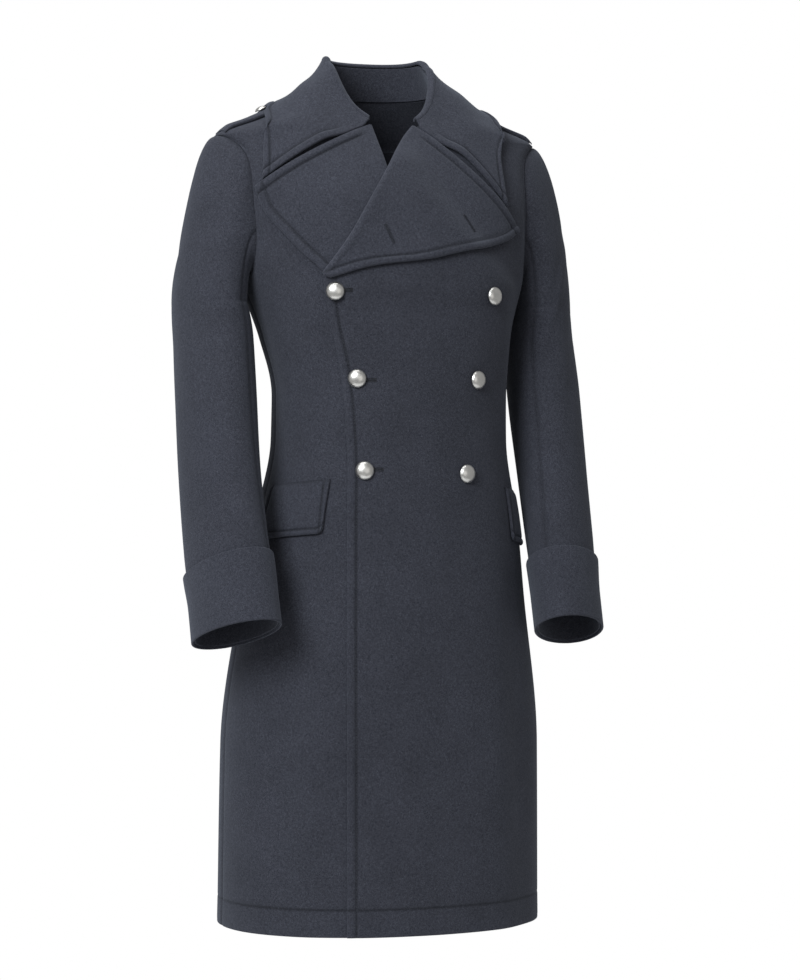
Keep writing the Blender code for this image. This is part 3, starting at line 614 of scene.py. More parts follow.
def blend_colour(tree, share, first, second, how="MIX"):
    node = tree.nodes.new("ShaderNodeMix")
    node.data_type = "RGBA"
    node.blend_type = how
    sockets = {socket.identifier: socket for socket in (*node.inputs, *node.outputs)}
    feed(tree, sockets["Factor_Float"], share)
    feed(tree, sockets["A_Color"], first)
    feed(tree, sockets["B_Color"], second)
    return sockets["Result_Color"]


def make_wool_group():
    colour, number = "NodeSocketColor", "NodeSocketFloat"
    tree, inside, out = new_group(
        "melange_wool",
        (("Base", colour, (0.045, 0.052, 0.074, 1)), ("Dark", colour, (0.010, 0.012, 0.020, 1)),
         ("Pale", colour, (0.088, 0.095, 0.120, 1)), ("Fleck Scale", number, 900.0),
         ("Fleck", number, 1.0), ("Clouding", number, 0.10), ("Painted Seam Shade", number, 0.0)),
        (("Color", colour), ("Height", number), ("Roughness", number)))
    coordinates = tree.nodes.new("ShaderNodeTexCoord")
    places = coordinates.outputs["Object"]
    scale = inside.outputs["Fleck Scale"]
    fine = noise(tree, places, scale, 3.0, 0.65)
    finer = noise(tree, places, product(tree, scale, FINER_SCALE), 2.0, 0.6)
    clumps = noise(tree, places, product(tree, scale, CLUMP_SCALE), 2.0, 0.6)
    clouds = noise(tree, places, CLOUD_SCALE, 2.0, 0.5)
    dark_share = product(tree, remap(tree, fine, *DARK_FLECKS), inside.outputs["Fleck"])
    shade = blend_colour(tree, dark_share, inside.outputs["Base"], inside.outputs["Dark"])
    pale_share = product(tree, remap(tree, finer, *PALE_FLECKS), inside.outputs["Fleck"])
    pale_share = product(tree, pale_share, remap(tree, clumps, *PALE_IN_CLUMPS))
    shade = blend_colour(tree, pale_share, shade, inside.outputs["Pale"])
    clouding = remap(tree, clouds, *NOISE_SPAN, -1.0, 1.0)
    clouding = product(tree, clouding, inside.outputs["Clouding"])
    clump_light = remap(tree, clumps, *NOISE_SPAN, *CLUMP_LIGHT)
    light = product(tree, added(tree, clouding, 1.0), clump_light)
    # Painted shade: the colour darkens along seams and stitch grooves.
    seam_shade_dark = product(tree, inside.outputs["Painted Seam Shade"], -SEAM_SHADE_DARKER)
    light = product(tree, light, added(tree, seam_shade_dark, 1.0))
    grey = tree.nodes.new("ShaderNodeCombineColor")
    for side in range(3):
        tree.links.new(light, grey.inputs[side])
    shade = blend_colour(tree, 1.0, shade, grey.outputs[0], "MULTIPLY")
    nap = added(tree, product(tree, fine, FINE_NAP), product(tree, clumps, CLUMP_NAP))
    flat = added(tree, product(tree, inside.outputs["Painted Seam Shade"], -SEAM_NAP_FLATTER), 1.0)
    tree.links.new(shade, out.inputs["Color"])
    tree.links.new(product(tree, nap, flat), out.inputs["Height"])
    tree.links.new(remap(tree, finer, *NOISE_SPAN, *WOOL_ROUGHNESS), out.inputs["Roughness"])
    return tree


wool_group = make_wool_group()

# %% Wool and thread materials
NAP_STRENGTH = 0.55
NAP_DEPTH = 0.0007
WOOL_SHINE = 0.18
SHEEN_ROUGHNESS = 0.55
SHEEN_TINT = (0.52, 0.58, 0.70, 1.0)
THREAD_ROUGHNESS = (0.75, 0.55)
TWIST_SCALE = 2600.0
TWIST_STRENGTH = 0.4
TWIST_DEPTH = 0.0002


def start_material(name):
    """Material with one Principled BSDF; returns it, its tree and the shader."""
    material = bpy.data.materials.new(name)
    material.use_nodes = True
    return material, material.node_tree, material.node_tree.nodes["Principled BSDF"]


def bump(tree, shader, height, strength, distance):
    node = tree.nodes.new("ShaderNodeBump")
    node.inputs["Strength"].default_value = strength
    node.inputs["Distance"].default_value = distance
    tree.links.new(height, node.inputs["Height"])
    tree.links.new(node.outputs["Normal"], shader.inputs["Normal"])


def wool_material(name, base, fleck_scale, clouding, sheen):
    material, tree, shader = start_material(name)
    wool = tree.nodes.new("ShaderNodeGroup")
    wool.node_tree = wool_group
    wool.inputs["Base"].default_value = base
    wool.inputs["Fleck Scale"].default_value = fleck_scale
    wool.inputs["Clouding"].default_value = clouding
    # Painted shade of seams and stitch grooves, read from the cloth's attribute.
    mark = tree.nodes.new("ShaderNodeAttribute")
    mark.attribute_name = "painted_shade"
    tree.links.new(mark.outputs["Fac"], wool.inputs["Painted Seam Shade"])
    tree.links.new(wool.outputs["Color"], shader.inputs["Base Color"])
    tree.links.new(wool.outputs["Roughness"], shader.inputs["Roughness"])
    bump(tree, shader, wool.outputs["Height"], NAP_STRENGTH, NAP_DEPTH)
    shader.inputs["Sheen Weight"].default_value = sheen
    shader.inputs["Sheen Roughness"].default_value = SHEEN_ROUGHNESS
    shader.inputs["Sheen Tint"].default_value = SHEEN_TINT
    shader.inputs["Specular IOR Level"].default_value = WOOL_SHINE
    return material


wool = wool_material("melton_wool", (0.0360, 0.0378, 0.0495, 1.0), 1000.0, 0.09, 0.16)
folded_wool = wool_material("melton_wool_folded", (0.0370, 0.0390, 0.0515, 1.0), 960.0, 0.07, 0.20)


def thread_material(name, deep, light):
    """Dull cotton thread, darker than the cloth, with its twist as bump."""
    material, tree, shader = start_material(name)
    coordinates = tree.nodes.new("ShaderNodeTexCoord")
    twist = noise(tree, coordinates.outputs["Object"], TWIST_SCALE, 2.0, 0.5)
    ramp = blend_colour(tree, twist, deep, light)
    tree.links.new(ramp, shader.inputs["Base Color"])
    tree.links.new(remap(tree, twist, *NOISE_SPAN, *THREAD_ROUGHNESS), shader.inputs["Roughness"])
    bump(tree, shader, twist, TWIST_STRENGTH, TWIST_DEPTH)
    return material


thread = thread_material("dark_thread", (0.008, 0.010, 0.018, 1), (0.030, 0.034, 0.048, 1))
# Near-black buttonhole thread: the thread's own dark colour with the slit's shade painted in.
hole_thread_and_shade = thread_material("buttonhole_thread_and_shade", (0.002, 0.003, 0.005, 1), (0.010, 0.012, 0.018, 1))
print("materials", [material.name for material in (wool, folded_wool, thread, hole_thread_and_shade)])

# %% [markdown]
# The fronts and backs are the big panels. Each row runs level between its two border angles, and
# the rows crowd together round the armhole, whose border turns fast there. The side seam, armhole,
# shoulder and neck are sewn, the front edge is stitched from the hem to where the lapel breaks, and
# the hem is turned up inside and only just shows. The left front sinks a little round each button.

# %% Fronts and backs
# The columns are name, x and level.
BUTTON_PLACES = (
    ("button_upper_right", -0.102, -0.293),
    ("button_upper_left", 0.119, -0.295),
    ("button_middle_right", -0.074, -0.410),
    ("button_middle_left", 0.096, -0.410),
    ("button_lower_right", -0.065, -0.534),
    ("button_lower_left", 0.078, -0.538),
)
DIMPLE_DEPTH = 0.0012
DIMPLE_RADIUS = 0.017
PANEL_STEP = 0.0075
ARMHOLE_ROWS = 46
NECK_ROWS = 12
BELOW_ARMPIT_Z = ARMPIT_Z - 0.0035
OVER_SHOULDER_Z = -0.066
FRONT_WIDTH = 0.33
BACK_WIDTH = 0.30
BREAK_MARGIN = 0.012
BREAK_FADE = 0.010
UNDER_STRAP_EASE = 0.8
UNDER_STRAP_FADE = 0.012


def panel_levels():
    """Levels of a panel's rows, hem to neck."""
    hem = shares_along(BREAK_Z - HEM_Z, PANEL_STEP, "hemmed", "plain") * (BREAK_Z - HEM_Z) + HEM_Z
    turns = np.linspace(0.0, math.pi, ARMHOLE_ROWS + 1)
    armhole = ARMHOLE_MIDDLE_Z - ARMHOLE_HALF_HEIGHT * signed_power(np.cos(turns), 2 / ARMHOLE_ROUNDNESS)
    top = np.linspace(GORGE_Z, NECK_Z, NECK_ROWS)
    last = [NECK_Z - mark for mark in EDGE_MARKS[1:5]]
    return np.array(sorted({*hem, BELOW_ARMPIT_Z, *armhole, OVER_SHOULDER_Z, *top, *last}))


def panel_grid(side, start_angle, end_angle, shares):
    levels = panel_levels()[None, :]
    angles = mix(start_angle(levels), end_angle(levels), shares[:, None])
    levels = np.broadcast_to(levels, angles.shape)
    return cloth_point(side, angles, levels), angles, levels


def armhole_pull(grid, levels):
    """Hollow beside the armhole seam, which pulls the cloth in."""
    return trough(border_distances(grid)["u0"]) * armhole_share(levels)


def shoulder_seam(levels):
    """Border kind of the side, armhole and shoulder seam, which eases out under the strap."""
    return "sewn", 1 - UNDER_STRAP_EASE * smooth_step((levels - SHOULDER_Z) / UNDER_STRAP_FADE)


def button_dimples(grid, centres):
    """Shallow hollows round the buttons."""
    height = np.zeros(grid.shape[:2])
    for centre in centres:
        away = np.linalg.norm(grid - centre, axis=-1)
        height -= DIMPLE_DEPTH * np.exp(-(away / DIMPLE_RADIUS) ** 2)
    return height


button_seats = {}
for name, x, level in BUTTON_PLACES:
    angle = angle_at_x(1, x, level)
    button_seats[name] = (cloth_point(1, np.array(angle), np.array(level)),
                          body_normal(1, np.array(angle), np.array(level)))

front_shares = shares_along(FRONT_WIDTH, PANEL_STEP, "sewn", "edge")
for word, side in SIDES:
    grid, angles, levels = panel_grid(
        side, front_side_angle,
        lambda level, side=side: angle_at_x(side, front_edge_x(side, level), level), front_shares)
    below_break = 1 - smooth_step((levels - BREAK_Z + BREAK_MARGIN) / BREAK_FADE)
    centres = [seat for seat, _ in button_seats.values()] if side > 0 else []
    cloth_piece(f"front_{word}", grid, WALL,
                {"u0": shoulder_seam(levels), "u1": ("edge", below_break), "v0": "hemmed", "v1": "sewn"},
                -side, wool, extra=button_dimples(grid, centres) + armhole_pull(grid, levels))

back_shares = shares_along(BACK_WIDTH, PANEL_STEP, "sewn", "sewn")
for word, side in SIDES:
    grid, angles, levels = panel_grid(side, back_side_angle, lambda level: -math.pi / 2, back_shares)
    cloth_piece(f"back_{word}", grid, WALL,
                {"u0": shoulder_seam(levels), "u1": "sewn", "v0": "hemmed", "v1": "sewn"},
                side, wool, extra=armhole_pull(grid, levels))

# %% [markdown]
# A coat sleeve is cut in two pieces, a top sleeve and a narrower under sleeve, so that it bends
# forward like an arm. Its cap starts at the armhole, swells over the seam allowance and settles
# into the arm. Sections along the arm give the rest, and a table of soft marks creases the elbow.

# %% Sleeves
SLEEVE_COLUMNS = ("level", "x", "y", "half_thin", "half_long", "turn")
SLEEVE_SECTIONS = (
    (-0.310, 0.2424, 0.004, 0.0435, 0.074, 14.0),
    (-0.360, 0.2385, -0.004, 0.0485, 0.071, 16.0),
    (-0.434, 0.2395, -0.022, 0.0505, 0.067, 18.0),
    (-0.546, 0.2415, -0.052, 0.0485, 0.066, 23.0),
    (-0.630, 0.2410, -0.080, 0.0465, 0.067, 27.0),
    (-0.700, 0.2385, -0.107, 0.0440, 0.067, 30.0),
    (-0.760, 0.2375, -0.128, 0.0435, 0.068, 30.0),
)
AXIS_STEP = 0.002
ARMHOLE_INSET = SEAM_GAP * 1.3
SLEEVE_END_Z = -0.750
SLEEVE_SEAM_TURN = math.radians(108.0)
SLEEVE_RADIUS = 0.055
CAP_FORWARD = 0.20
CAP_UP = 0.12
CAP_START = (0.005, 0.029)
CAP_END = (0.010, 0.085)
CAP_LENGTH = 0.24
ARM_LENGTH = 0.46
CAP_STEP = 0.006
ARM_STEP = 0.0065
SLEEVE_TURN_STEP = 0.0055
NEAR_CAP_END = (0.985, 1.0, 1.018)
SLEEVE = curves_of(SLEEVE_COLUMNS, SLEEVE_SECTIONS)
# The columns are the way round from the outer arm, the way down from the armhole, slant in degrees,
# half length, half width and height.
SLEEVE_CREASES = (
    (0.050, 0.150, 62.0, 0.040, 0.0100, -0.0014),
    (0.052, 0.178, 58.0, 0.042, 0.0100, 0.0010),
    (0.048, 0.206, 54.0, 0.038, 0.0100, -0.0012),
    (0.020, 0.090, 16.0, 0.080, 0.0160, 0.0010),
    (-0.030, 0.170, -50.0, 0.040, 0.0110, -0.0014),
    (-0.045, 0.210, -44.0, 0.040, 0.0110, 0.0014),
    (0.000, 0.300, 4.0, 0.090, 0.0150, 0.0014),
    (0.040, 0.330, 12.0, 0.070, 0.0110, -0.0014),
)


def armhole_point(side, turn):
    """Place on the armhole seam, on the sleeve's side of it."""
    half = ARMHOLE_HALF_HEIGHT - ARMHOLE_INSET
    level = ARMHOLE_MIDDLE_Z + half * signed_power(np.cos(turn), 2 / ARMHOLE_ROUNDNESS)
    share = np.abs(signed_power(np.sin(turn), 2 / ARMHOLE_ROUNDNESS))
    front = angle_at_offset((ARMHOLE_FRONT - ARMHOLE_INSET) * share, depth_from_side(True, level))
    back = -angle_at_offset((ARMHOLE_BACK - ARMHOLE_INSET) * share, depth_from_side(False, level))
    angle = np.where(np.sin(turn) > 0, front, back)
    depth = SEAM_DIP - trough(0.0) * armhole_share(level)
    return body_point(side, angle, level) - body_normal(side, angle, level) * depth[..., None]


def axis_slope(name, level):
    """Slope of the arm's axis in X or Y against the level."""
    return (SLEEVE[name](level + AXIS_STEP) - SLEEVE[name](level - AXIS_STEP)) / (2 * AXIS_STEP)


def arm_point(side, turn, level, swell=0.0):
    """Place on the sleeve's section at a level of the arm's axis."""
    lean = np.radians(SLEEVE["turn"](level))
    thin = (SLEEVE["half_thin"](level) + swell) * np.cos(turn)
    long = (SLEEVE["half_long"](level) + swell) * np.sin(turn)
    x = side * (np.cos(lean) * thin - np.sin(lean) * long)
    y = -np.sin(lean) * thin - np.cos(lean) * long
    tilt = x * side * axis_slope("x", level) + y * axis_slope("y", level)
    return points_of(side * SLEEVE["x"](level) + x, SLEEVE["y"](level) + y, level - tilt)


def sleeve_point(side, turn, along):
    """Place on a sleeve: along runs 0 to 1 over the cap and 1 to 2 down the arm."""
    top = SLEEVE_SECTIONS[0][0]
    down = arm_point(side, turn, mix(top, SLEEVE_END_Z, np.clip(along - 1, 0, 1)))
    start = armhole_point(side, turn)
    end = arm_point(side, turn, np.full(np.shape(turn), top))
    over = (1 + np.cos(turn)) / 2
    out = unit(points_of(side, -CAP_FORWARD * np.sin(turn), CAP_UP * np.maximum(np.cos(turn), 0.0)))
    first = start + out * mix(*CAP_START, over)[..., None]
    second = end + points_of(0.0, 0.0, mix(*CAP_END, over))
    part = np.clip(along, 0, 1)[..., None]
    rest = 1 - part
    cap = (start * rest ** 3 + first * 3 * rest ** 2 * part
           + second * 3 * rest * part ** 2 + end * part ** 3)
    return np.where(np.asarray(along)[..., None] >= 1, down, cap)


border_rows = len(EDGE_MARKS)
cap_alongs = shares_along(CAP_LENGTH, CAP_STEP, "sewn", "plain")[:-border_rows]
arm_alongs = 1 + shares_along(ARM_LENGTH, ARM_STEP, "plain", "plain")[border_rows:]
sleeve_alongs = np.concatenate((cap_alongs, NEAR_CAP_END, arm_alongs))
half_gap = SEAM_GAP / 2 / SLEEVE_RADIUS
# The columns are kind and the way round at which it starts and ends.
SLEEVE_HALVES = (
    ("sleeve_top", -SLEEVE_SEAM_TURN + half_gap, SLEEVE_SEAM_TURN - half_gap),
    ("sleeve_under", SLEEVE_SEAM_TURN + half_gap, 2 * math.pi - SLEEVE_SEAM_TURN - half_gap),
)
for kind, start, end in SLEEVE_HALVES:
    turn_shares = shares_along((end - start) * SLEEVE_RADIUS, SLEEVE_TURN_STEP, "sewn", "sewn")
    turns = mix(start, end, turn_shares)[:, None]
    turns, alongs = np.broadcast_arrays(turns, sleeve_alongs[None, :])
    for word, side in SIDES:
        grid = sleeve_point(side, turns, alongs)
        down = border_distances(grid)["v0"]
        creases = soft_marks(turns * SLEEVE_RADIUS, down, SLEEVE_CREASES)
        # The sleeve's end at the armhole is joined: painted shade marks the seam there, with no dip.
        cloth_piece(f"{kind}_{word}", grid, WALL,
                    {"u0": "sewn", "u1": "sewn", "v0": "joined", "v1": "plain"},
                    side, wool, extra=creases)

# %% [markdown]
# Each cuff is a band of cloth turned back over the sleeve's end. Its upper border is free and
# stands a little off the sleeve, and its lower border is the fold, so both are rounded.

# %% Cuffs
CUFF_TOP_Z = -0.662
CUFF_END_Z = -0.753
CUFF_WALL = 0.0030
CUFF_STAND = 0.0016
CUFF_STAND_REACH = 0.5
CUFF_WAVES = 3
CUFF_WAVE_HEIGHT = 0.4
CUFF_TURNS = 96
CUFF_LENGTH = 0.10
CUFF_STEP = 0.004
cuff_turns = np.linspace(0.0, 2 * math.pi, CUFF_TURNS + 1)[:-1, None]
cuff_alongs = shares_along(CUFF_LENGTH, CUFF_STEP)[None, :]
for word, side in SIDES:
    turns, alongs = np.broadcast_arrays(cuff_turns, cuff_alongs)
    wave = 1 + CUFF_WAVE_HEIGHT * (np.sin(CUFF_WAVES * turns + side) - 1)
    stand = CUFF_STAND * (1 - smooth_step(alongs / CUFF_STAND_REACH)) * wave
    grid = arm_point(side, turns, mix(CUFF_TOP_Z, CUFF_END_Z, alongs), SEWN_GAP + CUFF_WALL + stand)
    cloth_piece(f"cuff_{word}", grid, CUFF_WALL, {"v0": "plain", "v1": "plain"}, side, folded_wool,
                ring=True)

# %% [markdown]
# The lapels are the tops of the fronts folded outwards along the roll line, so each starts with a
# soft half turn of cloth and then lies over the chest. Rows run from the roll line to the outer
# edge. A straight pattern edge sags a little between its corners, which the bow gives.

# %% Lapels
LAPEL_COLUMNS = ("share", "x", "level")
LAPEL_EDGE_LEFT = ((0.0, -0.108, -0.276), (0.20, -0.055, -0.261), (0.45, 0.025, -0.250),
                   (0.60, 0.070, -0.239), (0.75, 0.110, -0.230), (0.90, 0.150, -0.217),
                   (1.0, 0.176, -0.202))
LAPEL_EDGE_RIGHT = ((0.0, 0.085, -0.276), (0.15, 0.030, -0.275), (0.30, -0.040, -0.274),
                    (0.45, -0.105, -0.272), (0.60, -0.130, -0.253), (0.75, -0.160, -0.218),
                    (0.88, -0.184, -0.183), (1.0, -0.194, -0.149))
LAPEL_GAP = 0.0027
LAPEL_BOW = {1: 0.006, -1: 0.001}
EDGE_LIFT = 0.0014
EDGE_LIFT_WIDTH = 0.017
ROLL_SWELL = 0.0014
ROLL_SWELL_REACH = 0.18
ROLL_START_Z = BREAK_Z + 0.004
ROLL_END_Z = GORGE_Z - 0.002
SHARE_STEP = 0.01
LAPEL_LENGTH = 0.30
LAPEL_LENGTH_STEP = 0.0035
LAPEL_WIDTH = 0.22
LAPEL_WIDTH_STEP = 0.0045
LAPEL_ROLL_SHARE = 0.02
LAPEL_ROLL_FADE = 0.10
ROLL_ROWS = 12
LAPEL_EDGE = {1: curves_of(LAPEL_COLUMNS, LAPEL_EDGE_LEFT),
              -1: curves_of(LAPEL_COLUMNS, LAPEL_EDGE_RIGHT)}


def roll_param(side, share):
    """Angle and level on the roll line, from the break to the gorge."""
    level = mix(ROLL_START_Z, ROLL_END_Z, share)
    return angle_at_x(side, ROLL_LINE[side](level), level), level


def lapel_point(side, share, across):
    """Place on a lapel: across runs -1 to 0 round the roll and 0 to 1 to the edge."""
    angle, level = roll_param(side, share)
    near = roll_param(side, np.minimum(share + SHARE_STEP, 1.0))
    far = roll_param(side, np.maximum(share - SHARE_STEP, 0.0))
    base = cloth_point(side, angle, level)
    normal = body_normal(side, angle, level)
    line = cloth_point(side, *near) - cloth_point(side, *far)
    out = unit(np.cross(line, normal)) * -side
    turn = (across + 1) * math.pi
    radius = ROLL_RADIUS + WALL
    sideways = SEAM_GAP * 2 + radius * np.sin(turn)
    rise = ROLL_RADIUS - radius * np.cos(turn)
    rolled = base + out * sideways[..., None] + normal * rise[..., None]
    end_level = LAPEL_EDGE[side]["level"](share)
    end_angle = angle_at_x(side, LAPEL_EDGE[side]["x"](share), end_level)
    reach = np.maximum(across, 0.0)
    height = mix(LAPEL_GAP + WALL, LAPEL_TOP, (1 - reach) ** 2)
    bow = LAPEL_BOW[side] * share ** 3 * np.sin(math.pi * reach)
    lying = cloth_point(side, mix(angle, end_angle, reach), mix(level, end_level, reach) - bow, height)
    return np.where(across[..., None] < 0, rolled, lying)


def folded_relief(from_edge, acrosses, beyond_roll, roll_swell):
    """Height of a folded piece, which is fuller along its free edges and near its roll."""
    at_edge = EDGE_LIFT * np.exp(-(from_edge / EDGE_LIFT_WIDTH) ** 2) * beyond_roll
    return at_edge + roll_swell * (1 - smooth_step(acrosses / ROLL_SWELL_REACH))


roll_acrosses = np.linspace(-1.0, 0.0, ROLL_ROWS + 1)[:-1]
lapel_shares = shares_along(LAPEL_LENGTH, LAPEL_LENGTH_STEP, "plain", "stitched")
lapel_acrosses = np.concatenate((roll_acrosses,
                                 shares_along(LAPEL_WIDTH, LAPEL_WIDTH_STEP, "plain", "stitched")))
for word, side in SIDES:
    shares, acrosses = np.broadcast_arrays(lapel_shares[:, None], lapel_acrosses[None, :])
    grid = lapel_point(side, shares, acrosses)
    beyond_roll = smooth_step((acrosses - LAPEL_ROLL_SHARE) / LAPEL_ROLL_FADE)
    away = border_distances(grid)
    lifted = folded_relief(np.minimum(away["v1"], away["u1"]), acrosses, beyond_roll,
                           ROLL_SWELL * (1 - shares ** 4))
    cloth_piece(f"lapel_{word}", grid, WALL,
                {"u0": "plain", "u1": ("stitched", beyond_roll), "v0": "plain", "v1": "stitched"},
                -side, folded_wool, extra=lifted, thick_edges=1)

# %% [markdown]
# The collar has two pieces. The stand is a band that rises from the neck seam and leans towards
# the neck. The fall rolls over the top of it and lies down over the shoulders and the strap ends.
# A share from 0 to 2 runs round the whole collar, from the left gorge over the back to the right.

# %% Collar
NECK_TURN = 0.30
SHOULDER_TURN = 0.42
NECK_MIDDLE_Y = 0.020
STAND_HEIGHT = 0.045
STAND_END = 0.006
FALL_DROP_ENDS = 1.2
FALL_DROP_SIDE = 4.0
FALL_BACK_GAP = 0.004
STAND_START = 0.24
STAND_RISE_START = 0.03
STAND_RISE_LENGTH = 0.42
STAND_LEAN = 0.016
COLLAR_EDGE_POWER = 0.8
STRAP_REACH = 0.315
BEHIND_REACH = 0.2
LIFT_REACH = 1 / 3
RISING_REACH = 0.48
RISING_GAP = 0.0026
FALL_LIFT = 0.0110
COLLAR_SHOULDER_Z = -0.036
COLLAR_BACK_Z = -0.082
COLLAR_EDGE_LEFT = ((COLLAR_SHOULDER_Z, 0.153), (-0.055, 0.163), (-0.109, 0.152), (-0.169, 0.153))
COLLAR_EDGE_RIGHT = ((COLLAR_SHOULDER_Z, -0.153), (-0.053, -0.170), (-0.098, -0.181),
                     (-0.140, -0.185))
COLLAR_EDGE = {1: curve_through(COLLAR_EDGE_LEFT), -1: curve_through(COLLAR_EDGE_RIGHT)}
GORGE_GAP = 0.0006
GORGE_START = 0.010
GORGE_SEWN = 0.034
GORGE_FADE = 0.050
GORGE_REACH = 0.045
COLLAR_LENGTH = 0.95
COLLAR_LENGTH_STEP = 0.0060
FALL_WIDTH = 0.12
FALL_WIDTH_STEP = 0.0040
FALL_ROLL_SHARE = 0.05
FALL_ROLL_FADE = 0.15
STAND_COLUMNS = 111
STAND_STEP = 0.004


def side_of(share):
    """Split a share that runs 0 to 2 round the collar into a side and a share."""
    return np.where(share <= 1, 1, -1), np.where(share <= 1, share, 2 - share)


def neck_param(share):
    """Angle and level on the neck seam."""
    level = mix(GORGE_Z, NECK_Z, np.minimum(share / NECK_TURN, 1.0))
    front = angle_at_x(1, NECK_X(level), level)
    behind = mix(front, -math.pi / 2, (share - NECK_TURN) / (1 - NECK_TURN))
    return np.where(share <= NECK_TURN, front, behind), level


def collar_edge_param(side, share):
    """Angle and level on the fall's outer edge, from its point to the centre back."""
    tip = np.where(side > 0, COLLAR_EDGE_LEFT[-1][0], COLLAR_EDGE_RIGHT[-1][0])
    in_front = np.clip(share / SHOULDER_TURN, 0.0, 1.0) ** COLLAR_EDGE_POWER
    front_level = mix(tip, COLLAR_SHOULDER_Z, in_front)
    x = np.where(side > 0, COLLAR_EDGE[1](front_level), COLLAR_EDGE[-1](front_level))
    part = np.clip((share - SHOULDER_TURN) / (1 - SHOULDER_TURN), 0.0, 1.0)
    back_level = mix(COLLAR_SHOULDER_Z, COLLAR_BACK_Z, smooth_step(part))
    front = share < SHOULDER_TURN
    return (np.where(front, angle_at_x(side, x, front_level), -math.pi / 2 * part),
            np.where(front, front_level, back_level))


def neck_parts(share):
    """Neck seam, inward direction, clearance and top of the stand at a share."""
    side, share = side_of(share)
    angle, level = neck_param(share)
    seam = body_point(side, angle, level)
    inward = unit(points_of(-seam[..., 0], NECK_MIDDLE_Y - seam[..., 1], 0.0))
    normal = body_normal(side, angle, level)
    clear = WALL * np.abs((normal * inward).sum(axis=-1)) + SEAM_GAP
    height = mix(STAND_END, STAND_HEIGHT, smooth_step((share - STAND_RISE_START) / STAND_RISE_LENGTH))
    top = seam + inward * (STAND_LEAN * height / STAND_HEIGHT)[..., None] + points_of(0, 0, height)
    return seam, inward, clear[..., None], top


def stand_point(share, up):
    """Outer face of the stand."""
    seam, inward, clear, top = neck_parts(share)
    return mix(seam + inward * clear, top + inward * clear, up[..., None])


def fall_point(share, across):
    """Outer face of the fall: across runs -1 to 0 over the roll and 0 to 1 to the edge."""
    _, inward, clear, stand_top = neck_parts(share)
    side, share = side_of(share)
    angle, level = neck_param(share)
    radius = ROLL_RADIUS + WALL
    gap = mix(RISING_GAP, SEAM_GAP, smooth_step((share - STAND_START) / RISING_REACH))
    top = stand_top + inward * (clear - ROLL_RADIUS) + points_of(0.0, 0.0, gap)
    turn = (across + 1) * math.pi
    rolled = (top + inward * (radius * np.cos(turn))[..., None]
              + points_of(0.0, 0.0, radius * np.sin(turn)))
    reach = np.maximum(across, 0.0)
    start = top - inward * radius
    edge_angle, edge_level = collar_edge_param(side, share)
    over_strap = smooth_step(1 - np.abs(share - SHOULDER_TURN) / STRAP_REACH)
    behind = smooth_step((share - SHOULDER_TURN) / BEHIND_REACH)
    height = mix(LAPEL_GAP + FALL_BACK_GAP * behind + WALL, FALL_LIFT, over_strap)
    rise = start - body_point(side, angle, level)
    lying = cloth_point(side, mix(angle, edge_angle, reach), mix(level, edge_level, reach),
                        height * smooth_step(reach / LIFT_REACH))
    drop = mix(FALL_DROP_ENDS, FALL_DROP_SIDE, over_strap)
    lying = lying + rise * ((1 - reach) ** drop)[..., None]
    return np.where(across[..., None] < 0, rolled, lying)


def along_line(places):
    """Distance of each place of a line from the first, along the line."""
    return np.concatenate(([0.0], np.cumsum(np.linalg.norm(np.diff(places, axis=0), axis=1))))


def close_gorge(grid):
    """Draw the inner part of the fall's ends to the lapels, where the gorge seam joins them."""
    grid = grid.copy()
    for name, border, row in (("lapel_left", "u0", 0), ("lapel_right", "u1", -1)):
        rim = cloth_made[name]["grid"][-1, ROLL_ROWS:]
        rim_away = along_line(rim)
        end = grid[row, ROLL_ROWS:]
        end_away = along_line(end)
        target = np.stack([np.interp(end_away, rim_away, rim[:, k]) for k in range(3)], axis=-1)
        shift = target - end
        far = np.linalg.norm(shift, axis=-1, keepdims=True)
        sewn = smooth_step(end_away / GORGE_START)
        sewn = sewn * (1 - smooth_step((end_away - GORGE_SEWN) / GORGE_FADE))
        shift = shift * np.maximum(1 - GORGE_GAP / far, 0.0) * sewn[:, None]
        along = border_distances(grid)[border][:, ROLL_ROWS:]
        grid[:, ROLL_ROWS:] += shift[None] * (1 - smooth_step(along / GORGE_REACH))[..., None]
        print(name, "gorge seam drawn in by", round(float(np.linalg.norm(shift, axis=1).max()), 4), "m")
    return grid


collar_shares = 2 * shares_along(COLLAR_LENGTH, COLLAR_LENGTH_STEP, "stitched", "stitched")
fall_acrosses = np.concatenate((roll_acrosses,
                                shares_along(FALL_WIDTH, FALL_WIDTH_STEP, "plain", "stitched")))
shares, acrosses = np.broadcast_arrays(collar_shares[:, None], fall_acrosses[None, :])
beyond_roll = smooth_step((acrosses - FALL_ROLL_SHARE) / FALL_ROLL_FADE)
fall_grid = close_gorge(fall_point(shares, acrosses))
away = border_distances(fall_grid)
from_edge = np.minimum(away["v1"], np.minimum(away["u0"], away["u1"]))
lifted = folded_relief(from_edge, acrosses, beyond_roll, ROLL_SWELL)
free_end = smooth_step((away["v0"] - GORGE_SEWN) / GORGE_FADE)
cloth_piece("collar_fall", fall_grid, WALL,
            {"u0": ("stitched", free_end), "u1": ("stitched", free_end), "v0": "plain",
             "v1": "stitched"}, -1, folded_wool, extra=lifted, thick_edges=1)
stand_shares = np.linspace(STAND_START, 2 - STAND_START, STAND_COLUMNS)[:, None]
shares, ups = np.broadcast_arrays(stand_shares, shares_along(STAND_HEIGHT, STAND_STEP)[None, :])
cloth_piece("collar_stand", stand_point(shares, ups), WALL,
            {"u0": "plain", "u1": "plain", "v0": "sewn", "v1": "plain"}, 1, folded_wool)

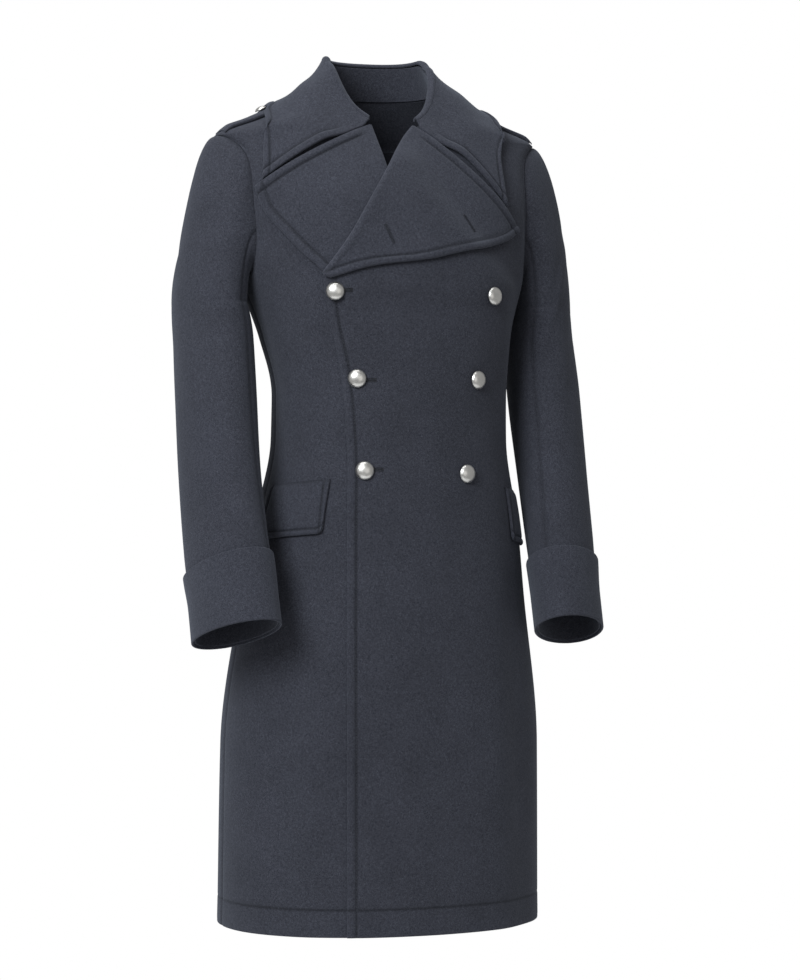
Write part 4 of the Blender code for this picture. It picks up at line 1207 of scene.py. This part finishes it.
# %% [markdown]
# The pocket flaps lie on the fronts below the waist. Their upper edge is sewn in and their other
# edges are stitched close to the border, with the lower corners cut round. The shoulder straps are
# doubled cloth, so they are thicker, and they run from the sleeve head to under the collar.

# %% Pocket flaps
FLAP_FRONT = {1: 0.146, -1: -0.107}
FLAP_WIDTH_TURN = {1: 0.56, -1: 0.74}
FLAP_TOP_Z = {1: -0.556, -1: -0.545}
FLAP_SLANT = 0.009
FLAP_SWING = 0.006
FLAP_HEIGHT = 0.074
FLAP_CORNER = 0.007
FLAP_WALL = 0.0030
FLAP_LIFT = 0.0012
FLAP_WAVES = 5
FLAP_WAVE_HEIGHT = 0.4
FLAP_LENGTH = 0.12
FLAP_STEP = 0.003
# Deepens the dip and the painted shade along the flap's top seam.
FLAP_SEAM_PULL = 1.7


def flap_point(side, along, down):
    """Outer face of a flap, from its front end towards the side seam."""
    turn = FLAP_WIDTH_TURN[side]
    nearest = np.minimum(along, 1 - along) * turn * float(BODY["half_width"](FLAP_TOP_Z[side]))
    cut = np.maximum(FLAP_CORNER - nearest, 0.0)
    rounded = FLAP_CORNER - np.sqrt(FLAP_CORNER ** 2 - cut ** 2)
    start = angle_at_x(side, FLAP_FRONT[side], FLAP_TOP_Z[side])
    level = FLAP_TOP_Z[side] - FLAP_SLANT * along - (FLAP_HEIGHT - rounded) * down
    angle = start - turn * along - FLAP_SWING * down
    bulge = FLAP_LIFT * down ** 2 * (1 + FLAP_WAVE_HEIGHT * (np.cos(FLAP_WAVES * along) - 1))
    return cloth_point(side, angle, level, mix(SEWN_GAP, LAYER_GAP, down) + FLAP_WALL + bulge)


flap_alongs = shares_along(FLAP_LENGTH, FLAP_STEP, "fine", "fine")[:, None]
flap_downs = shares_along(FLAP_HEIGHT, FLAP_STEP, "plain", "fine")[None, :]
for word, side in SIDES:
    alongs, downs = np.broadcast_arrays(flap_alongs, flap_downs)
    cloth_piece(f"flap_{word}", flap_point(side, alongs, downs), FLAP_WALL,
                {"u0": "fine", "u1": "fine", "v0": ("sewn", FLAP_SEAM_PULL), "v1": "fine"},
                -side, folded_wool)

# %% Shoulder straps
HALVINGS = 30
STRAP_OUTER_X = 0.224
STRAP_INNER_X = 0.128
STRAP_HALF_WIDTH = 0.026
STRAP_POINT = 0.022
STRAP_WALL = 0.0040
STRAP_BUTTON_X = 0.163
STRAP_END_SHARE = 0.35
STRAP_CROWN = 0.0014
STRAP_CLEAR = 0.0003
STRAP_SEAM_SHARE = 0.5
STRAP_SEAM_REACH = 0.14
STRAP_LENGTH = 0.095
STRAP_STEP = 0.003


def shoulder_param(x, y):
    """Angle and level of the shoulder's surface over a place."""
    low = np.full(np.shape(x), SHOULDER_Z)
    high = np.full(np.shape(x), NECK_Z)
    for _ in range(HALVINGS):
        level = (low + high) / 2
        side_y = BODY["side_y"](level)
        reach = depth_from_side(y < side_y, level)
        across = np.abs(x) / BODY["half_width"](level)
        inside = across ** ROUNDNESS + (np.abs(y - side_y) / reach) ** ROUNDNESS < 1
        low = np.where(inside, level, low)
        high = np.where(inside, high, level)
    return np.copysign(angle_at_offset(np.abs(y - side_y), reach), side_y - y), level


def strap_height(along, across):
    """Height of a strap's outer face, which drops into the sleeve seam."""
    crown = STRAP_CROWN * (1 - across ** 2)
    free = mix(STRAP_SEAM_SHARE, 1.0, smooth_step(along / STRAP_SEAM_REACH))
    return (mix(SEWN_GAP, LAYER_GAP, along) + STRAP_WALL + crown) * free


def strap_point(side, along, across):
    """Outer face of a strap, from the sleeve head to its pointed end."""
    x = mix(STRAP_OUTER_X, STRAP_INNER_X, along)
    pointed = np.minimum((STRAP_OUTER_X - STRAP_INNER_X) * (1 - along) / STRAP_POINT, 1.0)
    y = BODY["side_y"](NECK_Z) + STRAP_HALF_WIDTH * across * mix(STRAP_END_SHARE, 1.0, pointed)
    angle, level = shoulder_param(x, y)
    height = strap_height(along, across)
    return body_point(side, angle, level) + body_normal(side, angle, level) * height[..., None]


strap_alongs = shares_along(STRAP_LENGTH, STRAP_STEP, "plain", "fine")[:, None]
strap_acrosses = (2 * shares_along(2 * STRAP_HALF_WIDTH, STRAP_STEP, "fine", "fine") - 1)[None, :]
for word, side in SIDES:
    alongs, acrosses = np.broadcast_arrays(strap_alongs, strap_acrosses)
    cloth_piece(f"epaulette_{word}", strap_point(side, alongs, acrosses),
                strap_height(alongs, acrosses) - STRAP_CLEAR,
                {"u0": "sewn", "u1": "fine", "v0": "fine", "v1": "fine"}, -side, folded_wool,
                edge_round=0.28, under_round=0.0)
    angle, level = shoulder_param(np.array(STRAP_BUTTON_X), np.array(BODY["side_y"](NECK_Z)))
    normal = body_normal(side, angle, level)
    seat = body_point(side, angle, level) + normal * (LAYER_GAP + STRAP_WALL + STRAP_CROWN)
    button_seats[f"epaulette_button_{word}"] = (seat, normal)

# %% [markdown]
# The buttons are plain silver domes on a short shank. A button is round, so a profile turned about
# its own axis makes it: the dome, a rolled rim, the flat back and the shank. The metal is satin and
# bright where it is rubbed, with shade painted in darker round the rim and underneath.

# %% Button metal
HANDLED_SCALE = 90.0
HANDLED_PATCHES = (0.35, 0.75, 0.0, 0.22)
METAL_ROUGHNESS = (0.27, 0.37)
RIM_AND_BACK_ROUGHER = 0.2
GRAIN_STRENGTH = 0.12
GRAIN_DEPTH = 0.0002


def make_metal_group():
    colour, number = "NodeSocketColor", "NodeSocketFloat"
    # Dull colours the random dull patches and also the painted shade round the rim and underneath.
    tree, inside, out = new_group(
        "satin_metal",
        (("Bright", colour, (0.82, 0.81, 0.78, 1)), ("Dull", colour, (0.20, 0.20, 0.20, 1)),
         ("Grain Scale", number, 420.0), ("Painted Rim Shade", number, 0.0)),
        (("Color", colour), ("Roughness", number), ("Height", number)))
    coordinates = tree.nodes.new("ShaderNodeTexCoord")
    places = coordinates.outputs["Object"]
    grain = noise(tree, places, inside.outputs["Grain Scale"], 3.0, 0.6)
    handled = noise(tree, places, HANDLED_SCALE, 2.0, 0.5)
    # Painted shade: the colour goes from bright to dull round the rim and underneath.
    shade = blend_colour(tree, inside.outputs["Painted Rim Shade"], inside.outputs["Bright"], inside.outputs["Dull"])
    patch = blend_colour(tree, remap(tree, handled, *HANDLED_PATCHES), shade, inside.outputs["Dull"])
    rough = added(tree, remap(tree, grain, *NOISE_SPAN, *METAL_ROUGHNESS),
                  product(tree, inside.outputs["Painted Rim Shade"], RIM_AND_BACK_ROUGHER))
    tree.links.new(patch, out.inputs["Color"])
    tree.links.new(rough, out.inputs["Roughness"])
    tree.links.new(grain, out.inputs["Height"])
    return tree


def metal_material():
    material, tree, shader = start_material("satin_silver")
    metal = tree.nodes.new("ShaderNodeGroup")
    metal.node_tree = make_metal_group()
    # Painted shade round the rim and underneath, read from the button's attribute.
    mark = tree.nodes.new("ShaderNodeAttribute")
    mark.attribute_name = "painted_shade"
    tree.links.new(mark.outputs["Fac"], metal.inputs["Painted Rim Shade"])
    tree.links.new(metal.outputs["Color"], shader.inputs["Base Color"])
    tree.links.new(metal.outputs["Roughness"], shader.inputs["Roughness"])
    bump(tree, shader, metal.outputs["Height"], GRAIN_STRENGTH, GRAIN_DEPTH)
    shader.inputs["Metallic"].default_value = 1.0
    return material


satin_silver = metal_material()

# %% Buttons
BUTTON_RADIUS = 0.0127
STRAP_BUTTON_RADIUS = 0.0085
BUTTON_SEAT = 0.0004
BUTTON_TURNS = 56
# The columns are distance from the axis and height, as shares of the radius, and painted shade.
BUTTON_PROFILE = (
    (0.000, 0.700, 0.0), (0.100, 0.697, 0.0), (0.220, 0.686, 0.0), (0.340, 0.666, 0.0),
    (0.460, 0.636, 0.0), (0.570, 0.598, 0.0), (0.670, 0.552, 0.0), (0.760, 0.498, 0.0),
    (0.840, 0.434, 0.0), (0.905, 0.364, 0.05), (0.950, 0.300, 0.15), (0.980, 0.246, 0.4),
    (0.996, 0.200, 0.7), (1.000, 0.176, 0.8), (0.990, 0.150, 0.9), (0.965, 0.136, 1.0),
    (0.900, 0.130, 1.0), (0.500, 0.130, 1.0), (0.290, 0.128, 1.0), (0.270, 0.100, 1.0),
    (0.270, 0.010, 1.0), (0.255, 0.000, 1.0), (0.000, 0.000, 1.0),
)


def turned_button(name, radius, seat, direction):
    """Button turned from the profile, standing on its shank at a seat."""
    rows = BUTTON_PROFILE
    direction = unit(direction)
    first = unit(np.cross(direction, (0.0, 0.0, 1.0)))
    second = np.cross(direction, first)
    turns = np.linspace(0.0, 2 * math.pi, BUTTON_TURNS + 1)[:-1]
    round_way = first * np.cos(turns)[:, None] + second * np.sin(turns)[:, None]
    places = [seat + direction * rows[0][1] * radius]
    marks = [rows[0][2]]
    # The third column gives the painted shade of each ring.
    for share, height, groove in rows[1:-1]:
        places.extend(seat + direction * height * radius + round_way * share * radius)
        marks.extend([groove] * BUTTON_TURNS)
    places.append(seat)
    marks.append(1.0)
    faces = []
    last = len(places) - 1
    for i in range(BUTTON_TURNS):
        k = (i + 1) % BUTTON_TURNS
        faces.append((0, 1 + i, 1 + k, 0))
        for ring in range(len(rows) - 3):
            low = 1 + ring * BUTTON_TURNS
            high = low + BUTTON_TURNS
            faces.append((low + i, high + i, high + k, low + k))
        low = last - BUTTON_TURNS
        faces.append((low + i, last, last, low + k))
    return mesh_object(f"coat_{name}", places, faces, satin_silver, marks)


buttons_made = {}
for name, (seat, normal) in button_seats.items():
    strap = name.startswith("epaulette")
    radius = STRAP_BUTTON_RADIUS if strap else BUTTON_RADIUS
    sink = 0.0 if strap else DIMPLE_DEPTH
    buttons_made[name] = turned_button(name, radius, seat + normal * (BUTTON_SEAT - sink), normal)
print("buttons", len(buttons_made))

# %% [markdown]
# Stitches repeat along a path, which is what Geometry Nodes are for. The path of each row is read
# from the cloth itself, at the distance from the border where the groove was pressed. The tree
# spreads points along the path, puts a short rounded thread at each, turns it along the path, and
# makes the copies real.

# %% Paths of the stitching
THREAD_LIFT = 0.0001
PATH_MARGIN = 1.5
UNSTITCHED_INSET = 0.002
FEWEST_PLACES = 4
SHOWN_FROM = 0.5


def value_at(inset, distance, values):
    """Value at a distance from a border, from values at rising or falling distances."""
    order = np.argsort(distance, kind="stable")
    return float(np.interp(inset, distance[order], values[order]))


def stitch_runs(name, border):
    """Runs of places where a row of stitches shows, at a border's inset."""
    made = cloth_made[name]
    kind, where = made["borders"][border]
    inset = BORDER_KINDS[kind]["inset"]
    away = {key: value if border[0] == "v" else value.T for key, value in made["away"].items()}
    outer = made["outer"] + made["direction"] * THREAD_LIFT
    where = np.broadcast_to(where, made["away"]["u0"].shape)
    if border[0] == "u":
        outer = outer.transpose(1, 0, 2)
        where = where.T
    runs = []
    run = []
    for i in range(outer.shape[0]):
        distance = away[border][i]
        shown = distance.max() > PATH_MARGIN * inset and value_at(inset, distance, where[i]) > SHOWN_FROM
        for other, (other_kind, _) in made["borders"].items():
            other_inset = BORDER_KINDS[other_kind].get("inset", UNSTITCHED_INSET)
            if other != border and value_at(inset, distance, away[other][i]) < other_inset:
                shown = False
        if shown:
            run.append([value_at(inset, distance, outer[i, :, k]) for k in range(3)])
        elif run:
            runs.append(run)
            run = []
    if run:
        runs.append(run)
    return [run for run in runs if len(run) >= FEWEST_PLACES]


# %% Geometry Nodes for a row of stitches
STITCHES = (("Spacing", 0.0042), ("Stitch Length", 0.0034), ("Thread Radius", 0.00036))
HOLE_STITCHES = (("Spacing", 0.0010), ("Stitch Length", 0.0014), ("Thread Radius", 0.00042))
BEAD_SIZES = (("Segments", 6), ("Rings", 5), ("Radius", 1.0))


def stitch_tree():
    """Tree that turns a path into a row of threads."""
    tree = bpy.data.node_groups.new("stitch_row", "GeometryNodeTree")
    tree.interface.new_socket("Geometry", in_out="INPUT", socket_type="NodeSocketGeometry")
    for label, value in STITCHES:
        socket = tree.interface.new_socket(label, in_out="INPUT", socket_type="NodeSocketFloat")
        socket.default_value = value
    tree.interface.new_socket("Thread", in_out="INPUT", socket_type="NodeSocketMaterial")
    tree.interface.new_socket("Geometry", in_out="OUTPUT", socket_type="NodeSocketGeometry")
    ends = tree.nodes.new("NodeGroupInput"), tree.nodes.new("NodeGroupOutput")
    spread = tree.nodes.new("GeometryNodeCurveToPoints")
    spread.mode = "LENGTH"
    bead = tree.nodes.new("GeometryNodeMeshUVSphere")
    for label, value in BEAD_SIZES:
        bead.inputs[label].default_value = value
    size = tree.nodes.new("ShaderNodeCombineXYZ")
    half = tree.nodes.new("ShaderNodeMath")
    half.operation = "MULTIPLY"
    half.inputs[1].default_value = 0.5
    shape = tree.nodes.new("GeometryNodeTransform")
    place = tree.nodes.new("GeometryNodeInstanceOnPoints")
    real = tree.nodes.new("GeometryNodeRealizeInstances")
    finish = tree.nodes.new("GeometryNodeSetMaterial")
    link = tree.links.new
    link(ends[0].outputs["Geometry"], spread.inputs["Curve"])
    link(ends[0].outputs["Spacing"], spread.inputs["Length"])
    link(ends[0].outputs["Stitch Length"], half.inputs[0])
    link(ends[0].outputs["Thread Radius"], size.inputs["X"])
    link(ends[0].outputs["Thread Radius"], size.inputs["Y"])
    link(half.outputs[0], size.inputs["Z"])
    link(bead.outputs["Mesh"], shape.inputs["Geometry"])
    link(size.outputs["Vector"], shape.inputs["Scale"])
    link(spread.outputs["Points"], place.inputs["Points"])
    link(spread.outputs["Rotation"], place.inputs["Rotation"])
    link(shape.outputs["Geometry"], place.inputs["Instance"])
    link(place.outputs["Instances"], real.inputs["Geometry"])
    link(real.outputs["Geometry"], finish.inputs["Geometry"])
    link(ends[0].outputs["Thread"], finish.inputs["Material"])
    link(finish.outputs["Geometry"], ends[1].inputs["Geometry"])
    return tree


stitch_nodes = stitch_tree()


def socket_of(tree, label):
    """Identifier of a tree's named input."""
    return next(item.identifier for item in tree.interface.items_tree
                if item.name == label and getattr(item, "in_out", "") == "INPUT")


def threads_along(name, runs, sizes, material):
    """Mesh of threads along runs of places."""
    line = bpy.data.curves.new(f"{name}_path", "CURVE")
    line.dimensions = "3D"
    for run in runs:
        spline = line.splines.new("POLY")
        spline.points.add(len(run) - 1)
        spline.points.foreach_set("co", [value for place in run for value in (*place, 1.0)])
    path = bpy.data.objects.new(f"{name}_path", line)
    bpy.context.scene.collection.objects.link(path)
    rows = path.modifiers.new("stitches", "NODES")
    rows.node_group = stitch_nodes
    for label, value in (*sizes, ("Thread", material)):
        rows[socket_of(stitch_nodes, label)] = value
    evaluated = path.evaluated_get(bpy.context.evaluated_depsgraph_get())
    mesh = bpy.data.meshes.new_from_object(evaluated)
    mesh.name = name
    mesh.shade_smooth()
    bpy.data.objects.remove(path)
    piece = bpy.data.objects.new(name, mesh)
    bpy.context.scene.collection.objects.link(piece)
    return piece


STITCHED_BORDERS = {
    "front_left": ("u1",),
    "lapel_left": ("u1", "v1"),
    "lapel_right": ("u1", "v1"),
    "collar_fall": ("u0", "u1", "v1"),
    "flap_left": ("u0", "u1", "v1"),
    "flap_right": ("u0", "u1", "v1"),
    "epaulette_left": ("u1", "v0", "v1"),
    "epaulette_right": ("u1", "v0", "v1"),
}
stitches_made = {}
for name, borders in STITCHED_BORDERS.items():
    runs = [run for border in borders for run in stitch_runs(name, border)]
    stitches_made[name] = threads_along(f"stitches_{name}", runs, STITCHES, thread)
    print(f"stitches_{name}: {len(runs)} rows, {len(stitches_made[name].data.polygons)} faces")

# %% [markdown]
# Worked buttonholes show as short dark bars: two on the turned-out lapel, and one beside each
# button near the front edge. Each is a slit edged with threads laid side by side across it. The
# threads beside the buttons are near black, with the shade of the slit painted into them.

# %% Buttonholes
HOLE_LENGTH = 0.026
HOLE_BEHIND_BUTTON = 0.004
HOLE_THREADS = 0.0009
SLIT_HALF_WIDTH = 0.0003
HOLE_HALF_WIDTH = {"lapel_left": 0.0007, "front_left": 0.0009}
# The front holes take the near-black thread, which carries painted shade of the slit.
HOLE_THREAD = {"lapel_left": thread, "front_left": hole_thread_and_shade}
# Each row is the column and row of the photograph at the two ends of a buttonhole.
LAPEL_HOLE_PIXELS = (((385, 224), (394, 243)), ((464, 215), (475, 232)))
FRONT_HOLES = ("button_upper_right", "button_middle_right", "button_lower_right")


def nearest_places(name, places):
    """Places of a piece's outer face nearest to some places, and the directions there."""
    made = cloth_made[name]
    flat = made["outer"].reshape(-1, 3)
    ways = made["direction"].reshape(-1, 3)
    found = [int(np.argmin(((flat - place) ** 2).sum(axis=1))) for place in places]
    return flat[found], ways[found]


def places_at_pixels(name, pixels):
    """Places of a piece's outer face that show at pixels of the photograph."""
    made = cloth_made[name]
    flat = made["outer"].reshape(-1, 3)
    columns, rows = pixel_of(flat)
    return [flat[int(np.argmin((columns - column) ** 2 + (rows - row) ** 2))] for column, row in pixels]


def worked_hole(name, start, end):
    """Cross threads on both sides of a slit between two places on the cloth."""
    count = int(np.linalg.norm(end - start) / HOLE_THREADS)
    line = start + (end - start) * np.linspace(0.0, 1.0, count)[:, None]
    places, ways = nearest_places(name, line)
    ways = unit(ways)
    lifted = line + ways * ((places - line) * ways).sum(axis=1, keepdims=True)
    along = unit(end - start)
    width = SLIT_HALF_WIDTH + 2 * HOLE_HALF_WIDTH[name]
    runs = []
    for place, way in zip(lifted, ways):
        aside = unit(np.cross(along, way))
        for hand in (1, -1):
            near = place + aside * hand * SLIT_HALF_WIDTH + way * THREAD_LIFT
            far = place + aside * hand * width + way * THREAD_LIFT * 2
            runs.append([near.tolist(), mix(near, far, 0.5).tolist(), far.tolist()])
    return runs


hole_runs = {"lapel_left": [], "front_left": []}
for first, last in LAPEL_HOLE_PIXELS:
    start, end = places_at_pixels("lapel_left", (first, last))
    hole_runs["lapel_left"] += worked_hole("lapel_left", start, end)
for name in FRONT_HOLES:
    seat, normal = button_seats[name]
    aside = unit(np.cross(normal, (0.0, 0.0, 1.0)))
    aside = aside * np.sign(aside[0])
    ends, _ = nearest_places("front_left", (seat - aside * HOLE_BEHIND_BUTTON,
                                            seat + aside * (HOLE_LENGTH - HOLE_BEHIND_BUTTON)))
    hole_runs["front_left"] += worked_hole("front_left", *ends)
holes_made = {name: threads_along(f"buttonholes_{name}", runs, HOLE_STITCHES, HOLE_THREAD[name])
              for name, runs in hole_runs.items()}
print("buttonhole faces", {name: len(piece.data.polygons) for name, piece in holes_made.items()})

# %% [markdown]
# Now each piece is tied to the frame. It stands for its node, which is hidden, and it rides on the
# coat's one body.

# %% Tie the pieces to the frame
# The columns are node, width, length, area and what the piece rests on.
CUT = (
    ("front_left", 0.420, 1.200, 0.414, ("front_right",)),
    ("front_right", 0.430, 1.200, 0.403, ()),
    ("back_left", 0.320, 1.200, 0.320, ()),
    ("back_right", 0.320, 1.200, 0.318, ()),
    ("sleeve_top_left", 0.365, 0.715, 0.150, ("front_left", "back_left")),
    ("sleeve_top_right", 0.365, 0.715, 0.150, ("front_right", "back_right")),
    ("sleeve_under_left", 0.200, 0.600, 0.082, ("front_left", "back_left")),
    ("sleeve_under_right", 0.200, 0.600, 0.082, ("front_right", "back_right")),
    ("cuff_left", 0.405, 0.100, 0.038, ("sleeve_top_left", "sleeve_under_left")),
    ("cuff_right", 0.405, 0.100, 0.038, ("sleeve_top_right", "sleeve_under_right")),
    ("lapel_left", 0.330, 0.230, 0.0375, ("front_left",)),
    ("lapel_right", 0.370, 0.205, 0.0415, ("front_right",)),
    ("collar_fall", 0.875, 0.195, 0.0890, ("collar_stand", "back_left", "back_right")),
    ("collar_stand", 0.345, 0.048, 0.0135, ("back_left", "back_right")),
    ("flap_left", 0.105, 0.078, 0.0062, ("front_left",)),
    ("flap_right", 0.133, 0.078, 0.0081, ("front_right",)),
    ("epaulette_left", 0.106, 0.056, 0.0049, ("front_left", "back_left")),
    ("epaulette_right", 0.106, 0.056, 0.0049, ("front_right", "back_right")),
)
for name, width, length, area, under in CUT:
    piece = cloth_made[name]["piece"]
    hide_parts(name)
    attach(piece, "root")
print("sheets", len(CUT), "of", len(cloth_made))
for name, piece in buttons_made.items():
    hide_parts(name)
    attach(piece, "root")
for piece in (*stitches_made.values(), *holes_made.values()):
    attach(piece, "root")

# %% [markdown]
# The stage is a plain pale floor well below the hem, a pale surround, and large soft lights: a key
# light from the left of the view, a weaker one from the right, and one over the shoulders.

# %% Floor and surround
FLOOR_Z = -1.56
FLOOR_HALF = 1.2
floor_mesh = bpy.data.meshes.new("pale_floor")
floor_corners = [(x * FLOOR_HALF, y * FLOOR_HALF, FLOOR_Z)
                 for x, y in ((-1, -1), (1, -1), (1, 1), (-1, 1))]
floor_mesh.from_pydata(floor_corners, [], [(0, 1, 2, 3)])
floor = bpy.data.objects.new("pale_floor", floor_mesh)
bpy.context.scene.collection.objects.link(floor)
floor_material, _, floor_shader = start_material("pale_floor")
floor_shader.inputs["Base Color"].default_value = (0.93, 0.93, 0.93, 1.0)
floor_shader.inputs["Roughness"].default_value = 0.9
floor_mesh.materials.append(floor_material)

SURROUND_LIGHT = 0.31
world = bpy.data.worlds.new("pale_surround")
world.use_nodes = True
bpy.context.scene.world = world
ground = world.node_tree.nodes["Background"]
ground.inputs["Color"].default_value = (1.0, 1.0, 1.0, 1.0)
seen = world.node_tree.nodes.new("ShaderNodeLightPath")
level = world.node_tree.nodes.new("ShaderNodeMapRange")
level.inputs["To Min"].default_value = SURROUND_LIGHT
level.inputs["To Max"].default_value = 1.0
world.node_tree.links.new(seen.outputs["Is Camera Ray"], level.inputs["Value"])
world.node_tree.links.new(level.outputs["Result"], ground.inputs["Strength"])

# %% Lights
# The columns are name, way to the right, towards the camera and up, size, watts and colour.
LIGHTS = (
    ("key_light", -1.7, 2.9, 1.8, 1.8, 118.0, (0.95, 0.98, 1.0)),
    ("fill_light", 1.2, 3.4, 0.3, 2.6, 8.0, (1.0, 0.98, 0.95)),
    ("top_light", -0.4, 0.2, 2.4, 1.8, 20.0, (1.0, 1.0, 1.0)),
)
for name, right, front, up, size, watts, colour in LIGHTS:
    lamp = bpy.data.lights.new(name, "AREA")
    lamp.shape = "DISK"
    lamp.size = size
    lamp.energy = watts
    lamp.color = colour
    light = bpy.data.objects.new(name, lamp)
    place = aim + view_right * right + view_back * front + np.array((0.0, 0.0, up))
    light.location = place
    light.rotation_euler = Vector(aim - place).to_track_quat("-Z", "Y").to_euler()
    bpy.context.scene.collection.objects.link(light)
bpy.context.scene.view_settings.view_transform = "Standard"
